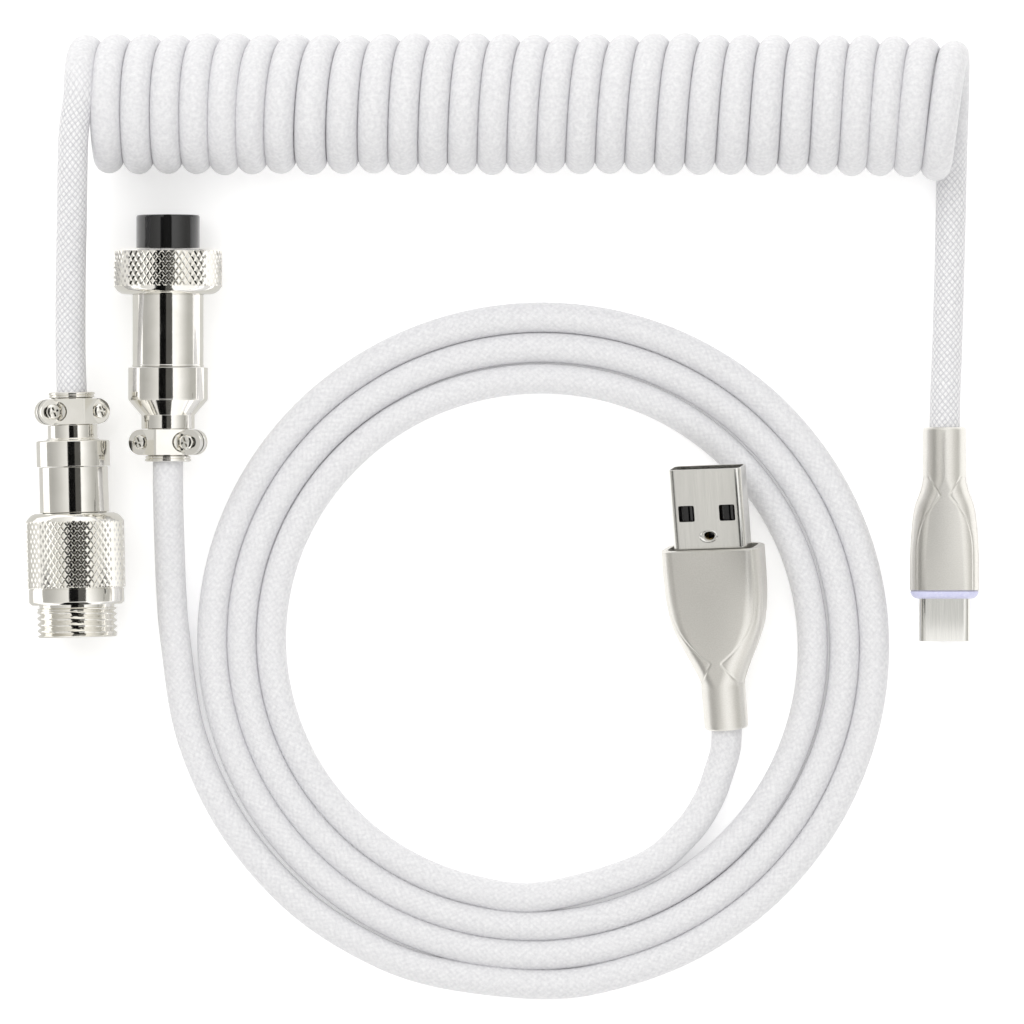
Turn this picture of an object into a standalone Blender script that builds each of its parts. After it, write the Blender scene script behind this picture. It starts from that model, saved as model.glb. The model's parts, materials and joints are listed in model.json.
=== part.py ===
"""Coiled USB keyboard cable in two halves that join at a round threaded connector.

The halves lie unmated on a table, with +Z up and the table at Z = 0. The origin is below the middle
of the connectors. The coil half has a USB-C plug, the curly winding and an inline receptacle. The
host half has a cable plug with a knurled coupling nut, a flat round coil and a USB-A plug.

Every connector is modelled in a frame of its own: +Y runs from the cable entry to the mating end,
+Z is its upper side, and its parent empty lays it on the table.
"""

import math

import bmesh
import bpy
from mathutils import Euler, Matrix, Vector

MM = 0.001

# Driving dimensions, in metres.
CORD_RADIUS = 2.3 * MM
CORE_RADIUS = 2.0 * MM
CONDUCTOR_RADIUS = 0.75 * MM
FIT = 0.1 * MM

WINDING_RADIUS = 11.12 * MM
WINDING_START_X = -70.6 * MM
WINDING_END_X = 74.3 * MM
WINDING_Y = 58.84 * MM

RING_CENTRE = (6.35 * MM, -27.16 * MM)
RING_OUTER_RADIUS = 55.9 * MM
RING_INNER_RADIUS = 39.7 * MM

RECEPTACLE_LENGTH = 39.1 * MM
GRIP_RADIUS = 7.85 * MM
THREAD_RADIUS = 6.35 * MM
PLUG_LENGTH = 39.38 * MM
NUT_RADIUS = 8.65 * MM
INSERT_RADIUS = 5.1 * MM
PIN_RADIUS = 0.5 * MM
PIN_CIRCLE_RADIUS = 2.6 * MM
PIN_COUNT = 4

CLAMP_TILT = math.radians(25)
CLAMP_START = 1.05 * MM
CLAMP_LENGTH = 4.1 * MM
CLAMP_SCREW_OFFSET = 4.1 * MM

USB_C_LENGTH = 34.2 * MM
USB_C_HOUSING_LENGTH = 26.2 * MM
USB_A_LENGTH = 42.2 * MM
USB_A_HOUSING_LENGTH = 29.3 * MM

ROUND_SIDES = 24
SMALL_SIDES = 12
CORNER_POINTS = 5

# Where each connector lies: the cable entry's place, then pitch, roll and yaw in degrees.
USB_C_PLACE = ((70.61 * MM, 7.34 * MM, 3.45 * MM), (0, 0, 180))
RECEPTACLE_PLACE = ((-68.74 * MM, 12.92 * MM, 7.86 * MM), (0, 0, 181.38))
PLUG_PLACE = ((-53.36 * MM, 1.83 * MM, 8.65 * MM), (0, 0, 0))
USB_A_PLACE = ((35.79 * MM, -40.65 * MM, 3.56 * MM), (8.5, -16, 4.4))

# The cord's routes where it isn't coiled, from the table up.
USB_C_LEAD = [
    (70.62 * MM, 7.64 * MM, 3.45 * MM),
    (70.74 * MM, 12.4 * MM, 3.20 * MM),
    (71.05 * MM, 20.0 * MM, 2.50 * MM),
    (71.45 * MM, 30.0 * MM, 2.32 * MM),
    (71.75 * MM, 40.0 * MM, 2.32 * MM),
    (71.90 * MM, 49.0 * MM, 2.32 * MM),
]
RECEPTACLE_LEAD = [
    (-68.40 * MM, 46.2 * MM, 17.9 * MM),
    (-68.55 * MM, 40.0 * MM, 15.7 * MM),
    (-68.75 * MM, 33.0 * MM, 12.8 * MM),
    (-68.88 * MM, 26.0 * MM, 10.2 * MM),
    (-68.92 * MM, 19.0 * MM, 8.30 * MM),
    (-68.75 * MM, 13.22 * MM, 7.86 * MM),
]
HOST_LEAD = [
    (-53.36 * MM, 1.53 * MM, 8.65 * MM),
    (-53.36 * MM, -3.5 * MM, 8.20 * MM),
    (-53.20 * MM, -11.0 * MM, 5.80 * MM),
    (-52.92 * MM, -19.0 * MM, 3.40 * MM),
    (-52.35 * MM, -26.7 * MM, 2.34 * MM),
]
HOST_TAIL = [
    (32.92 * MM, -52.2 * MM, 2.32 * MM),
    (34.60 * MM, -47.7 * MM, 2.55 * MM),
    (35.60 * MM, -44.3 * MM, 3.10 * MM),
    (35.82 * MM, -40.98 * MM, 3.52 * MM),
]


def clear_scene():
    for thing in list(bpy.data.objects):
        bpy.data.objects.remove(thing)


def metal(name, colour, roughness):
    return material(name, colour, roughness, 1.0)


def material(name, colour, roughness, metallic=0.0):
    made = bpy.data.materials.new(name)
    made.use_nodes = True
    shader = made.node_tree.nodes["Principled BSDF"]
    shader.inputs["Base Color"].default_value = (*colour, 1)
    shader.inputs["Roughness"].default_value = roughness
    shader.inputs["Metallic"].default_value = metallic
    return made


def connector_frame(name, place):
    """An empty at a connector's cable entry, with +Y towards its mating end."""
    position, (pitch, roll, yaw) = place
    empty = bpy.data.objects.new(name, None)
    bpy.context.collection.objects.link(empty)
    yaw_turn = Matrix.Rotation(math.radians(yaw), 4, "Z")
    pitch_turn = Matrix.Rotation(math.radians(pitch), 4, "X")
    roll_turn = Matrix.Rotation(math.radians(roll), 4, "Y")
    empty.matrix_world = Matrix.Translation(position) @ yaw_turn @ pitch_turn @ roll_turn
    return empty


def add(name, mesh, finish, frame=None):
    thing = bpy.data.objects.new(name, mesh)
    bpy.context.collection.objects.link(thing)
    thing.parent = frame
    if finish:
        thing.data.materials.append(finish)
    return thing


def add_bmesh(name, shape, finish, frame=None, smooth=True):
    bmesh.ops.recalc_face_normals(shape, faces=shape.faces)
    mesh = bpy.data.meshes.new(name)
    shape.to_mesh(mesh)
    shape.free()
    if smooth:
        mesh.shade_smooth()
        mesh.set_sharp_from_angle(angle=math.radians(35))
    return add(name, mesh, finish, frame)


def turned(name, outline, finish, frame, sides=ROUND_SIDES, centre=(0, 0), closed=True):
    """Spins (along, radius) points round the line along Y through centre, which is (x, z).

    An open outline starts and ends on the axis, so that the piece is solid."""
    shape = bmesh.new()
    cx, cz = centre
    points = [shape.verts.new((cx + radius, along, cz)) for along, radius in outline]
    pairs = list(zip(points, points[1:]))
    if closed:
        pairs.append((points[-1], points[0]))
    edges = [shape.edges.new(pair) for pair in pairs]
    bmesh.ops.spin(
        shape,
        geom=points + edges,
        cent=(cx, 0, cz),
        axis=(0, 1, 0),
        angle=math.tau,
        steps=sides,
        use_merge=True,
    )
    bmesh.ops.remove_doubles(shape, verts=shape.verts, dist=1e-7)
    return add_bmesh(name, shape, finish, frame)


def solid_rod(name, stretches, finish, frame, sides=SMALL_SIDES, centre=(0, 0)):
    """A solid turned piece from (start, end, radius) stretches that follow each other."""
    outline = [(stretches[0][0], 0)]
    for start, end, radius in stretches:
        outline += [(start, radius), (end, radius)]
    outline.append((stretches[-1][1], 0))
    return turned(name, outline, finish, frame, sides, centre, closed=False)


def tube_outline(outer, inner):
    """A closed outline from the outer points, rear to front, and the bore's, rear to front."""
    return list(outer) + list(reversed(inner))


def section(half_width, half_height, corner):
    """Points of a rounded rectangle, which is a circle when corner equals both halves."""
    points = []
    for quarter in range(4):
        side_x = 1 if quarter in (0, 3) else -1
        side_z = 1 if quarter in (0, 1) else -1
        for step in range(CORNER_POINTS):
            angle = math.radians(90 * (quarter + (step + 0.5) / CORNER_POINTS))
            x = side_x * (half_width - corner) + corner * math.cos(angle)
            z = side_z * (half_height - corner) + corner * math.sin(angle)
            points.append((x, z))
    return points


def lofted(name, outer, finish, frame, inner=()):
    """Skins (along, half width, half height, corner) stations.

    Without inner stations both ends are capped. With them the piece is a tube whose bore follows
    them, front to rear, and a bore that stops short of the rear is capped at its floor."""
    shape = bmesh.new()
    rings = []
    for along, half_width, half_height, corner in list(outer) + list(inner):
        ring = [shape.verts.new((x, along, z)) for x, z in section(half_width, half_height, corner)]
        rings.append(ring)
    through = bool(inner) and math.isclose(inner[-1][0], outer[0][0])
    pairs = list(zip(rings, rings[1:]))
    if through:
        pairs.append((rings[-1], rings[0]))
    for first, second in pairs:
        for i in range(len(first)):
            j = (i + 1) % len(first)
            shape.faces.new((first[i], first[j], second[j], second[i]))
    if not through:
        shape.faces.new(rings[0])
        shape.faces.new(rings[-1])
    return add_bmesh(name, shape, finish, frame)


def box(name, low, high, finish, frame):
    shape = bmesh.new()
    bmesh.ops.create_cube(shape, size=1)
    for vert in shape.verts:
        vert.co = Vector([low[i] if vert.co[i] < 0 else high[i] for i in range(3)])
    return add_bmesh(name, shape, finish, frame, smooth=False)


def extruded(name, outline, start, end, finish, frame):
    """Extrudes an (x, z) outline along Y."""
    shape = bmesh.new()
    bottom = shape.faces.new([shape.verts.new((x, start, z)) for x, z in outline])
    pushed = bmesh.ops.extrude_face_region(shape, geom=[bottom])["geom"]
    moved = [part for part in pushed if isinstance(part, bmesh.types.BMVert)]
    bmesh.ops.translate(shape, vec=(0, end - start, 0), verts=moved)
    return add_bmesh(name, shape, finish, frame, smooth=False)


def cut(target, cutter, operation="DIFFERENCE"):
    """A Boolean by a hidden cutter."""
    cutter.hide_render = True
    cutter.display_type = "WIRE"
    modifier = target.modifiers.new(cutter.name, "BOOLEAN")
    modifier.operation = operation
    modifier.object = cutter


def smooth_route(route, spacing):
    """Points on the smooth curve through a route's own points, about spacing apart."""
    points = [Vector(point) for point in route]
    ends = [2 * points[0] - points[1], *points, 2 * points[-1] - points[-2]]
    found = []
    for before, start, end, after in zip(ends, ends[1:], ends[2:], ends[3:]):
        steps = max(1, round((end - start).length / spacing))
        for step in range(steps):
            t = step / steps
            even = 2 * start + (end - before) * t + (2 * before - 5 * start + 4 * end - after) * t**2
            found.append((even + (3 * start - before - 3 * end + after) * t**3) / 2)
    return found + [points[-1]]


def cord_tube(name, points, radius, finish, resolution=3):
    curve = bpy.data.curves.new(name, "CURVE")
    curve.dimensions = "3D"
    curve.bevel_depth = radius
    curve.bevel_resolution = resolution
    curve.use_fill_caps = True
    spline = curve.splines.new("POLY")
    spline.points.add(len(points) - 1)
    for place, point in zip(spline.points, points):
        place.co = (*point, 1)
    return add(name, curve, finish)


def pin_places(radius):
    """The (x, z) centres of the contacts, on a circle, with a gap at the key."""
    for number in range(PIN_COUNT):
        angle = math.radians(45 + 360 / PIN_COUNT * number)
        yield number + 1, (radius * math.cos(angle), radius * math.sin(angle))


def cable_core(name, jacket_end, conductor_end, radius, finish, frame):
    """The jacket's end and the bundle of conductors that leaves it."""
    start = 3.0 * MM
    taper = 2.0 * MM
    outline = [(start, 0), (start, CORE_RADIUS), (jacket_end, CORE_RADIUS)]
    outline += [(jacket_end + taper, radius), (conductor_end, radius), (conductor_end, 0)]
    return turned(name, outline, finish, frame, sides=16, closed=False)


def clamp_outline(half_width):
    """Cross-section of the upper saddle: two lugs and a roof-shaped arch over the round waist."""
    split = 0.15 * MM
    lug_top = 1.35 * MM
    waist_radius = 3.36 * MM
    outline = [(half_width, split), (half_width, lug_top), (3.9 * MM, lug_top), (3.3 * MM, 3.1 * MM)]
    outline.append((0, 4.75 * MM))
    outline += [(-x, z) for x, z in reversed(outline[:-1])]
    for step in range(9):
        angle = math.radians(180 - 2.6 - (180 - 5.2) * step / 8)
        outline.append((waist_radius * math.cos(angle), waist_radius * math.sin(angle)))
    return outline


def clamp_saddle(prefix, side, half_width, finish, frame):
    """One half of the cable clamp; side is 1 for the upper saddle and -1 for the lower one."""
    name = f"{prefix}_saddle_{'upper' if side > 0 else 'lower'}"
    end = CLAMP_START + CLAMP_LENGTH
    middle = (CLAMP_START + end) / 2
    outline = [(x, side * z) for x, z in clamp_outline(half_width)]
    saddle = extruded(name, outline, CLAMP_START, end, finish, frame)
    rounding = upright(f"{name}_ends", half_width, CLAMP_LENGTH / 2 - 0.02 * MM, middle, frame)
    cut(saddle, rounding, "INTERSECT")
    for hand in (-1, 1):
        place = (hand * CLAMP_SCREW_OFFSET, middle)
        hole = post(f"{name}_hole_{hand}", place, 0.82 * MM, -6 * MM, 6 * MM, frame)
        cut(saddle, hole)
        if side > 0:
            seat = post(f"{name}_seat_{hand}", place, 1.85 * MM, 1.35 * MM, 6 * MM, frame)
            cut(saddle, seat)
    return saddle


def upright(name, half_length, half_width, middle, frame):
    """A prism along Z with round ends at plus and minus half_length in X."""
    shape = bmesh.new()
    outline = []
    for hand in (1, -1):
        for step in range(9):
            angle = math.radians(-90 + 180 * step / 8) + (math.pi if hand < 0 else 0)
            x = hand * (half_length - half_width) + half_width * math.cos(angle)
            outline.append(shape.verts.new((x, middle + half_width * math.sin(angle), -7 * MM)))
    floor = shape.faces.new(outline)
    pushed = bmesh.ops.extrude_face_region(shape, geom=[floor])["geom"]
    moved = [part for part in pushed if isinstance(part, bmesh.types.BMVert)]
    bmesh.ops.translate(shape, vec=(0, 0, 14 * MM), verts=moved)
    return add_bmesh(name, shape, None, frame, smooth=False)


def post(name, place, radius, low, high, frame, finish=None):
    """A cylinder along Z at an (x, y) place."""
    shape = bmesh.new()
    bmesh.ops.create_cone(
        shape, cap_ends=True, segments=16, radius1=radius, radius2=radius, depth=high - low
    )
    bmesh.ops.translate(shape, vec=(*place, (low + high) / 2), verts=shape.verts)
    return add_bmesh(name, shape, finish, frame)


def clamp_screw(name, hand, finish, frame):
    """A cheese-head screw through both lugs, turned about its own upright axis."""
    head = (1.40 * MM, 2.25 * MM, 1.2 * MM)
    shank = (-1.75 * MM, 1.40 * MM, 0.7 * MM)
    screw = solid_rod(name, [shank, head], finish, frame)
    middle = CLAMP_START + CLAMP_LENGTH / 2
    screw.matrix_local = Matrix.Translation((hand * CLAMP_SCREW_OFFSET, middle, 0)) @ Matrix.Rotation(
        math.radians(90), 4, "X"
    )
    return screw


def cable_clamp(prefix, half_width, finishes, frame):
    tilted = bpy.data.objects.new(f"{prefix}_clamp_frame", None)
    bpy.context.collection.objects.link(tilted)
    tilted.parent = frame
    tilted.rotation_euler = Euler((0, -CLAMP_TILT, 0))
    for side in (1, -1):
        clamp_saddle(prefix, side, half_width, finishes["nickel"], tilted)
    for hand, word in ((-1, "left"), (1, "right")):
        clamp_screw(f"{prefix}_screw_{word}", hand, finishes["nickel"], tilted)


def backshell(name, neck_radius, neck_end, band_start, band_end, band_radius, spigot_radius, finish, frame):
    """The rear sleeve: end lip, waist for the clamp, neck, and the band that holds the barrel."""
    clamp_end = CLAMP_START + CLAMP_LENGTH
    outer = [
        (0.0, 3.5 * MM),
        (0.2 * MM, 3.7 * MM),
        (0.95 * MM, 3.7 * MM),
        (0.95 * MM, 3.24 * MM),
        (clamp_end + FIT, 3.24 * MM),
        (clamp_end + FIT, neck_radius),
        (neck_end, neck_radius),
        (band_start, band_radius),
        (band_end, band_radius),
    ]
    inner = [
        (0.0, 2.45 * MM),
        (clamp_end, 2.45 * MM),
        (clamp_end, 3.1 * MM),
        (neck_end + 0.8 * MM, 3.1 * MM),
        (band_start + 1.2 * MM, spigot_radius - 0.6 * MM),
        (band_start + 1.2 * MM, spigot_radius + FIT),
        (band_end, spigot_radius + FIT),
    ]
    return turned(name, tube_outline(outer, inner), finish, frame)


def cable_bush(name, end, finish, frame):
    start = CLAMP_START + CLAMP_LENGTH + FIT
    outline = [(start, 2.1 * MM), (start, 3.0 * MM), (end, 3.0 * MM), (end, 2.1 * MM)]
    return turned(name, outline, finish, frame, sides=24)


def socket_insert(name, radius, start, end, hole_radius, finish, frame):
    """An insulator disc with a through hole for each contact."""
    edge = 0.3 * MM
    insert = turned(
        name,
        [(start, 0), (start, radius), (end - edge, radius), (end, radius - edge), (end, 0)],
        finish,
        frame,
        closed=False,
    )
    for number, place in pin_places(PIN_CIRCLE_RADIUS):
        hole = solid_rod(
            f"{name}_hole_{number}", [(start - MM, end + MM, hole_radius)], None, frame, centre=place
        )
        cut(insert, hole)
    return insert


def receptacle(finishes):
    """The inline receptacle: external thread in front, knurled grip, barrel, clamp at the rear."""
    frame = connector_frame("receptacle_frame", RECEPTACLE_PLACE)
    nickel = finishes["nickel"]
    length = RECEPTACLE_LENGTH
    outer = [
        (19.3 * MM, 6.5 * MM),
        (19.9 * MM, 7.3 * MM),
        (20.6 * MM, GRIP_RADIUS),
        (31.2 * MM, GRIP_RADIUS),
        (31.4 * MM, 7.6 * MM),
        (33.5 * MM, 7.6 * MM),
        (33.9 * MM, 7.2 * MM),
        (33.9 * MM, 6.0 * MM),
        (34.4 * MM, 6.0 * MM),
        (34.6 * MM, THREAD_RADIUS),
        (length - 0.3 * MM, THREAD_RADIUS),
        (length, THREAD_RADIUS - 0.3 * MM),
    ]
    inner = [
        (19.3 * MM, 5.2 * MM),
        (24.0 * MM, 5.2 * MM),
        (24.0 * MM, 5.7 * MM),
        (32.2 * MM, 5.7 * MM),
        (32.2 * MM, 5.3 * MM),
        (length, 5.3 * MM),
    ]
    body = turned("receptacle_body", tube_outline(outer, inner), nickel, frame)
    key = box(
        "receptacle_key", (-0.45 * MM, 33 * MM, 4.8 * MM), (0.45 * MM, 38 * MM, 5.6 * MM), None, frame
    )
    cut(body, key, "UNION")
    barrel_outer = [
        (9.2 * MM, 5.1 * MM),
        (11.95 * MM, 5.1 * MM),
        (11.95 * MM, 5.5 * MM),
        (19.2 * MM, 5.5 * MM),
        (19.2 * MM, 5.1 * MM),
        (23.9 * MM, 5.1 * MM),
    ]
    barrel_inner = [(9.2 * MM, 4.4 * MM), (23.9 * MM, 4.4 * MM)]
    turned("receptacle_barrel", tube_outline(barrel_outer, barrel_inner), nickel, frame)
    backshell(
        "receptacle_backshell", 3.95 * MM, 7.5 * MM, 7.7 * MM, 11.85 * MM, 5.85 * MM, 5.1 * MM, nickel, frame
    )
    cable_bush("receptacle_bush", 8.0 * MM, finishes["rubber"], frame)
    pin_hole = PIN_RADIUS + 0.05 * MM
    insulator = finishes["insulator"]
    socket_insert("receptacle_insert", 5.6 * MM, 28.4 * MM, 32.1 * MM, pin_hole, insulator, frame)
    retainer = [(27.3 * MM, 4.4 * MM), (27.3 * MM, 5.6 * MM), (28.3 * MM, 5.6 * MM), (28.3 * MM, 4.4 * MM)]
    turned("receptacle_retaining_ring", retainer, nickel, frame)
    for number, place in pin_places(PIN_CIRCLE_RADIUS):
        rod = [(25.6 * MM, 37.6 * MM, PIN_RADIUS)]
        solid_rod(f"receptacle_pin_{number}", rod, finishes["gold"], frame, sides=10, centre=place)
    cable_core("receptacle_cable_core", 8.5 * MM, 25.4 * MM, 1.6 * MM, finishes["core"], frame)
    cable_clamp("receptacle", 6.0 * MM, finishes, frame)


def cable_plug(finishes):
    """The cable plug: black socket insert and loose coupling nut in front, clamp at the rear."""
    frame = connector_frame("plug_frame", PLUG_PLACE)
    nickel = finishes["nickel"]
    length = PLUG_LENGTH
    barrel_outer = [
        (11.4 * MM, 5.3 * MM),
        (15.1 * MM, 5.3 * MM),
        (15.1 * MM, 5.7 * MM),
        (28.4 * MM, 5.7 * MM),
        (28.4 * MM, 5.35 * MM),
        (29.3 * MM, 5.35 * MM),
        (29.3 * MM, 5.7 * MM),
        (30.2 * MM, 5.7 * MM),
    ]
    barrel_inner = [(11.4 * MM, 4.6 * MM), (23.9 * MM, 4.6 * MM)]
    barrel_inner += [(23.9 * MM, 5.2 * MM), (30.2 * MM, 5.2 * MM)]
    turned("plug_barrel", tube_outline(barrel_outer, barrel_inner), nickel, frame)
    backshell(
        "plug_backshell", 4.25 * MM, 7.4 * MM, 9.8 * MM, 15.0 * MM, 6.35 * MM, 5.3 * MM, nickel, frame
    )
    cable_bush("plug_bush", 8.0 * MM, finishes["rubber"], frame)
    insert = socket_insert(
        "plug_insert", INSERT_RADIUS, 24.1 * MM, length, 0.8 * MM, finishes["insulator"], frame
    )
    keyway = box(
        "plug_keyway", (-0.6 * MM, 33 * MM, 4.4 * MM), (0.6 * MM, length + MM, 5.6 * MM), None, frame
    )
    cut(insert, keyway)
    for number, place in pin_places(PIN_CIRCLE_RADIUS):
        outline = [(22.6 * MM, 0.75 * MM), (38.7 * MM, 0.75 * MM)]
        outline += [(38.7 * MM, 0.55 * MM), (22.6 * MM, 0.55 * MM)]
        turned(f"plug_socket_{number}", outline, finishes["gold"], frame, sides=SMALL_SIDES, centre=place)
    snap_ring(finishes["steel"], frame)
    nut_outer = [
        (26.7 * MM, 6.9 * MM),
        (27.1 * MM, 7.9 * MM),
        (28.0 * MM, NUT_RADIUS),
        (33.6 * MM, NUT_RADIUS),
        (34.0 * MM, NUT_RADIUS - 0.35 * MM),
    ]
    nut_inner = [(26.7 * MM, 5.82 * MM), (28.3 * MM, 5.82 * MM)]
    nut_inner += [(28.3 * MM, 6.45 * MM), (34.0 * MM, 6.45 * MM)]
    turned("coupling_nut", tube_outline(nut_outer, nut_inner), nickel, frame)
    cable_core("plug_cable_core", 8.5 * MM, 22.4 * MM, 1.6 * MM, finishes["core"], frame)
    cable_clamp("plug", 6.35 * MM, finishes, frame)


def snap_ring(finish, frame):
    """An open ring in the barrel's groove, which keeps the coupling nut on."""
    outline = [(28.5 * MM, 5.42 * MM), (28.5 * MM, 6.2 * MM), (29.2 * MM, 6.2 * MM), (29.2 * MM, 5.42 * MM)]
    ring = turned("plug_snap_ring", outline, finish, frame)
    gap = box("plug_snap_ring_gap", (-0.8 * MM, 28 * MM, -7 * MM), (0.8 * MM, 30 * MM, 0), None, frame)
    cut(ring, gap)


def usb_c_plug(finishes):
    """The USB-C plug, lying flat: housing, bezel ring, shell and what it holds."""
    frame = connector_frame("usb_c_frame", USB_C_PLACE)
    end = USB_C_HOUSING_LENGTH
    bore = (2.45 * MM, 2.45 * MM, 2.45 * MM)
    outer = [
        (0.0, 3.2 * MM, 3.2 * MM, 3.2 * MM),
        (0.4 * MM, 3.42 * MM, 3.42 * MM, 3.42 * MM),
        (8.1 * MM, 3.42 * MM, 3.42 * MM, 3.4 * MM),
        (10.0 * MM, 3.80 * MM, 3.30 * MM, 3.1 * MM),
        (12.6 * MM, 4.72 * MM, 3.25 * MM, 2.9 * MM),
        (15.5 * MM, 5.17 * MM, 3.20 * MM, 2.8 * MM),
        (19.5 * MM, 5.44 * MM, 3.20 * MM, 2.7 * MM),
        (end, 5.50 * MM, 3.20 * MM, 2.6 * MM),
    ]
    inner = [
        (end, 4.75 * MM, 2.45 * MM, 1.9 * MM),
        (14.0 * MM, 4.40 * MM, 2.45 * MM, 1.9 * MM),
        (11.0 * MM, 3.0 * MM, 2.45 * MM, 2.3 * MM),
        (9.0 * MM, *bore),
        (0.0, *bore),
    ]
    lofted("usb_c_housing", outer, finishes["zinc"], frame, inner)
    mould_outer = [(14.2 * MM, 4.28 * MM, 2.33 * MM, 1.8 * MM), (26.1 * MM, 4.62 * MM, 2.33 * MM, 1.8 * MM)]
    mould_inner = [
        (26.1 * MM, 4.24 * MM, 1.32 * MM, 1.3 * MM),
        (19.8 * MM, 4.24 * MM, 1.32 * MM, 1.3 * MM),
        (19.8 * MM, 3.80 * MM, 0.90 * MM, 0.8 * MM),
        (15.2 * MM, 3.80 * MM, 0.90 * MM, 0.8 * MM),
        (15.2 * MM, 1.60 * MM, 0.90 * MM, 0.8 * MM),
        (14.2 * MM, 1.60 * MM, 0.90 * MM, 0.8 * MM),
    ]
    lofted("usb_c_inner_mould", mould_outer, finishes["mould"], frame, mould_inner)
    ring_start = end + FIT
    ring_end = end + 1.1 * MM
    ring_hole = (4.24 * MM, 1.32 * MM, 1.3 * MM)
    lofted(
        "usb_c_bezel_ring",
        [(ring_start, 5.2 * MM, 2.95 * MM, 2.4 * MM), (ring_end, 5.1 * MM, 2.85 * MM, 2.3 * MM)],
        finishes["bezel"],
        frame,
        [(ring_end, *ring_hole), (ring_start, *ring_hole)],
    )
    shell_size = (4.125 * MM, 1.2 * MM, 1.18 * MM)
    shell_bore = (3.875 * MM, 0.95 * MM, 0.93 * MM)
    start = 20.0 * MM
    tip = USB_C_LENGTH
    lofted(
        "usb_c_shell",
        [(start, *shell_size), (tip - 0.2 * MM, *shell_size), (tip, 4.05 * MM, 1.12 * MM, 1.1 * MM)],
        finishes["steel"],
        frame,
        [(tip, *shell_bore), (start, *shell_bore)],
    )
    lofted(
        "usb_c_insulator",
        [(22.0 * MM, 3.78 * MM, 0.86 * MM, 0.82 * MM), (tip - 0.5 * MM, 3.78 * MM, 0.86 * MM, 0.82 * MM)],
        finishes["insulator"],
        frame,
        [(tip - 0.5 * MM, 3.35 * MM, 0.42 * MM, 0.3 * MM), (27.0 * MM, 3.35 * MM, 0.42 * MM, 0.3 * MM)],
    )
    for word, side in (("upper", 1), ("lower", -1)):
        contact_row(f"usb_c_contacts_{word}", side, finishes["gold"], frame)
    box(
        "usb_c_board",
        (-3.5 * MM, 15.5 * MM, -0.35 * MM),
        (3.5 * MM, 21.9 * MM, 0.35 * MM),
        finishes["board"],
        frame,
    )
    cable_core("usb_c_cable_core", 7.5 * MM, 15.1 * MM, CONDUCTOR_RADIUS, finishes["core"], frame)


def contact_row(name, side, finish, frame):
    """Contact fingers side by side on the strip that they are stamped from."""
    count = 6
    pitch = 1.0 * MM
    half_finger = 0.15 * MM
    strip_start = 27.1 * MM
    strip_end = 27.7 * MM
    finger_end = 33.0 * MM
    outline = [(-count / 2 * pitch, strip_start)]
    for number in range(count):
        middle = (number - (count - 1) / 2) * pitch
        outline.append((middle - half_finger, strip_end))
        outline.append((middle - half_finger, finger_end))
        outline.append((middle + half_finger, finger_end))
        outline.append((middle + half_finger, strip_end))
    outline.append((count / 2 * pitch, strip_start))
    low, high = sorted((side * 0.22 * MM, side * 0.36 * MM))
    shape = bmesh.new()
    floor = shape.faces.new([shape.verts.new((x, y, low)) for x, y in outline])
    pushed = bmesh.ops.extrude_face_region(shape, geom=[floor])["geom"]
    moved = [part for part in pushed if isinstance(part, bmesh.types.BMVert)]
    bmesh.ops.translate(shape, vec=(0, 0, high - low), verts=moved)
    return add_bmesh(name, shape, finish, frame, smooth=False)


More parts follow.
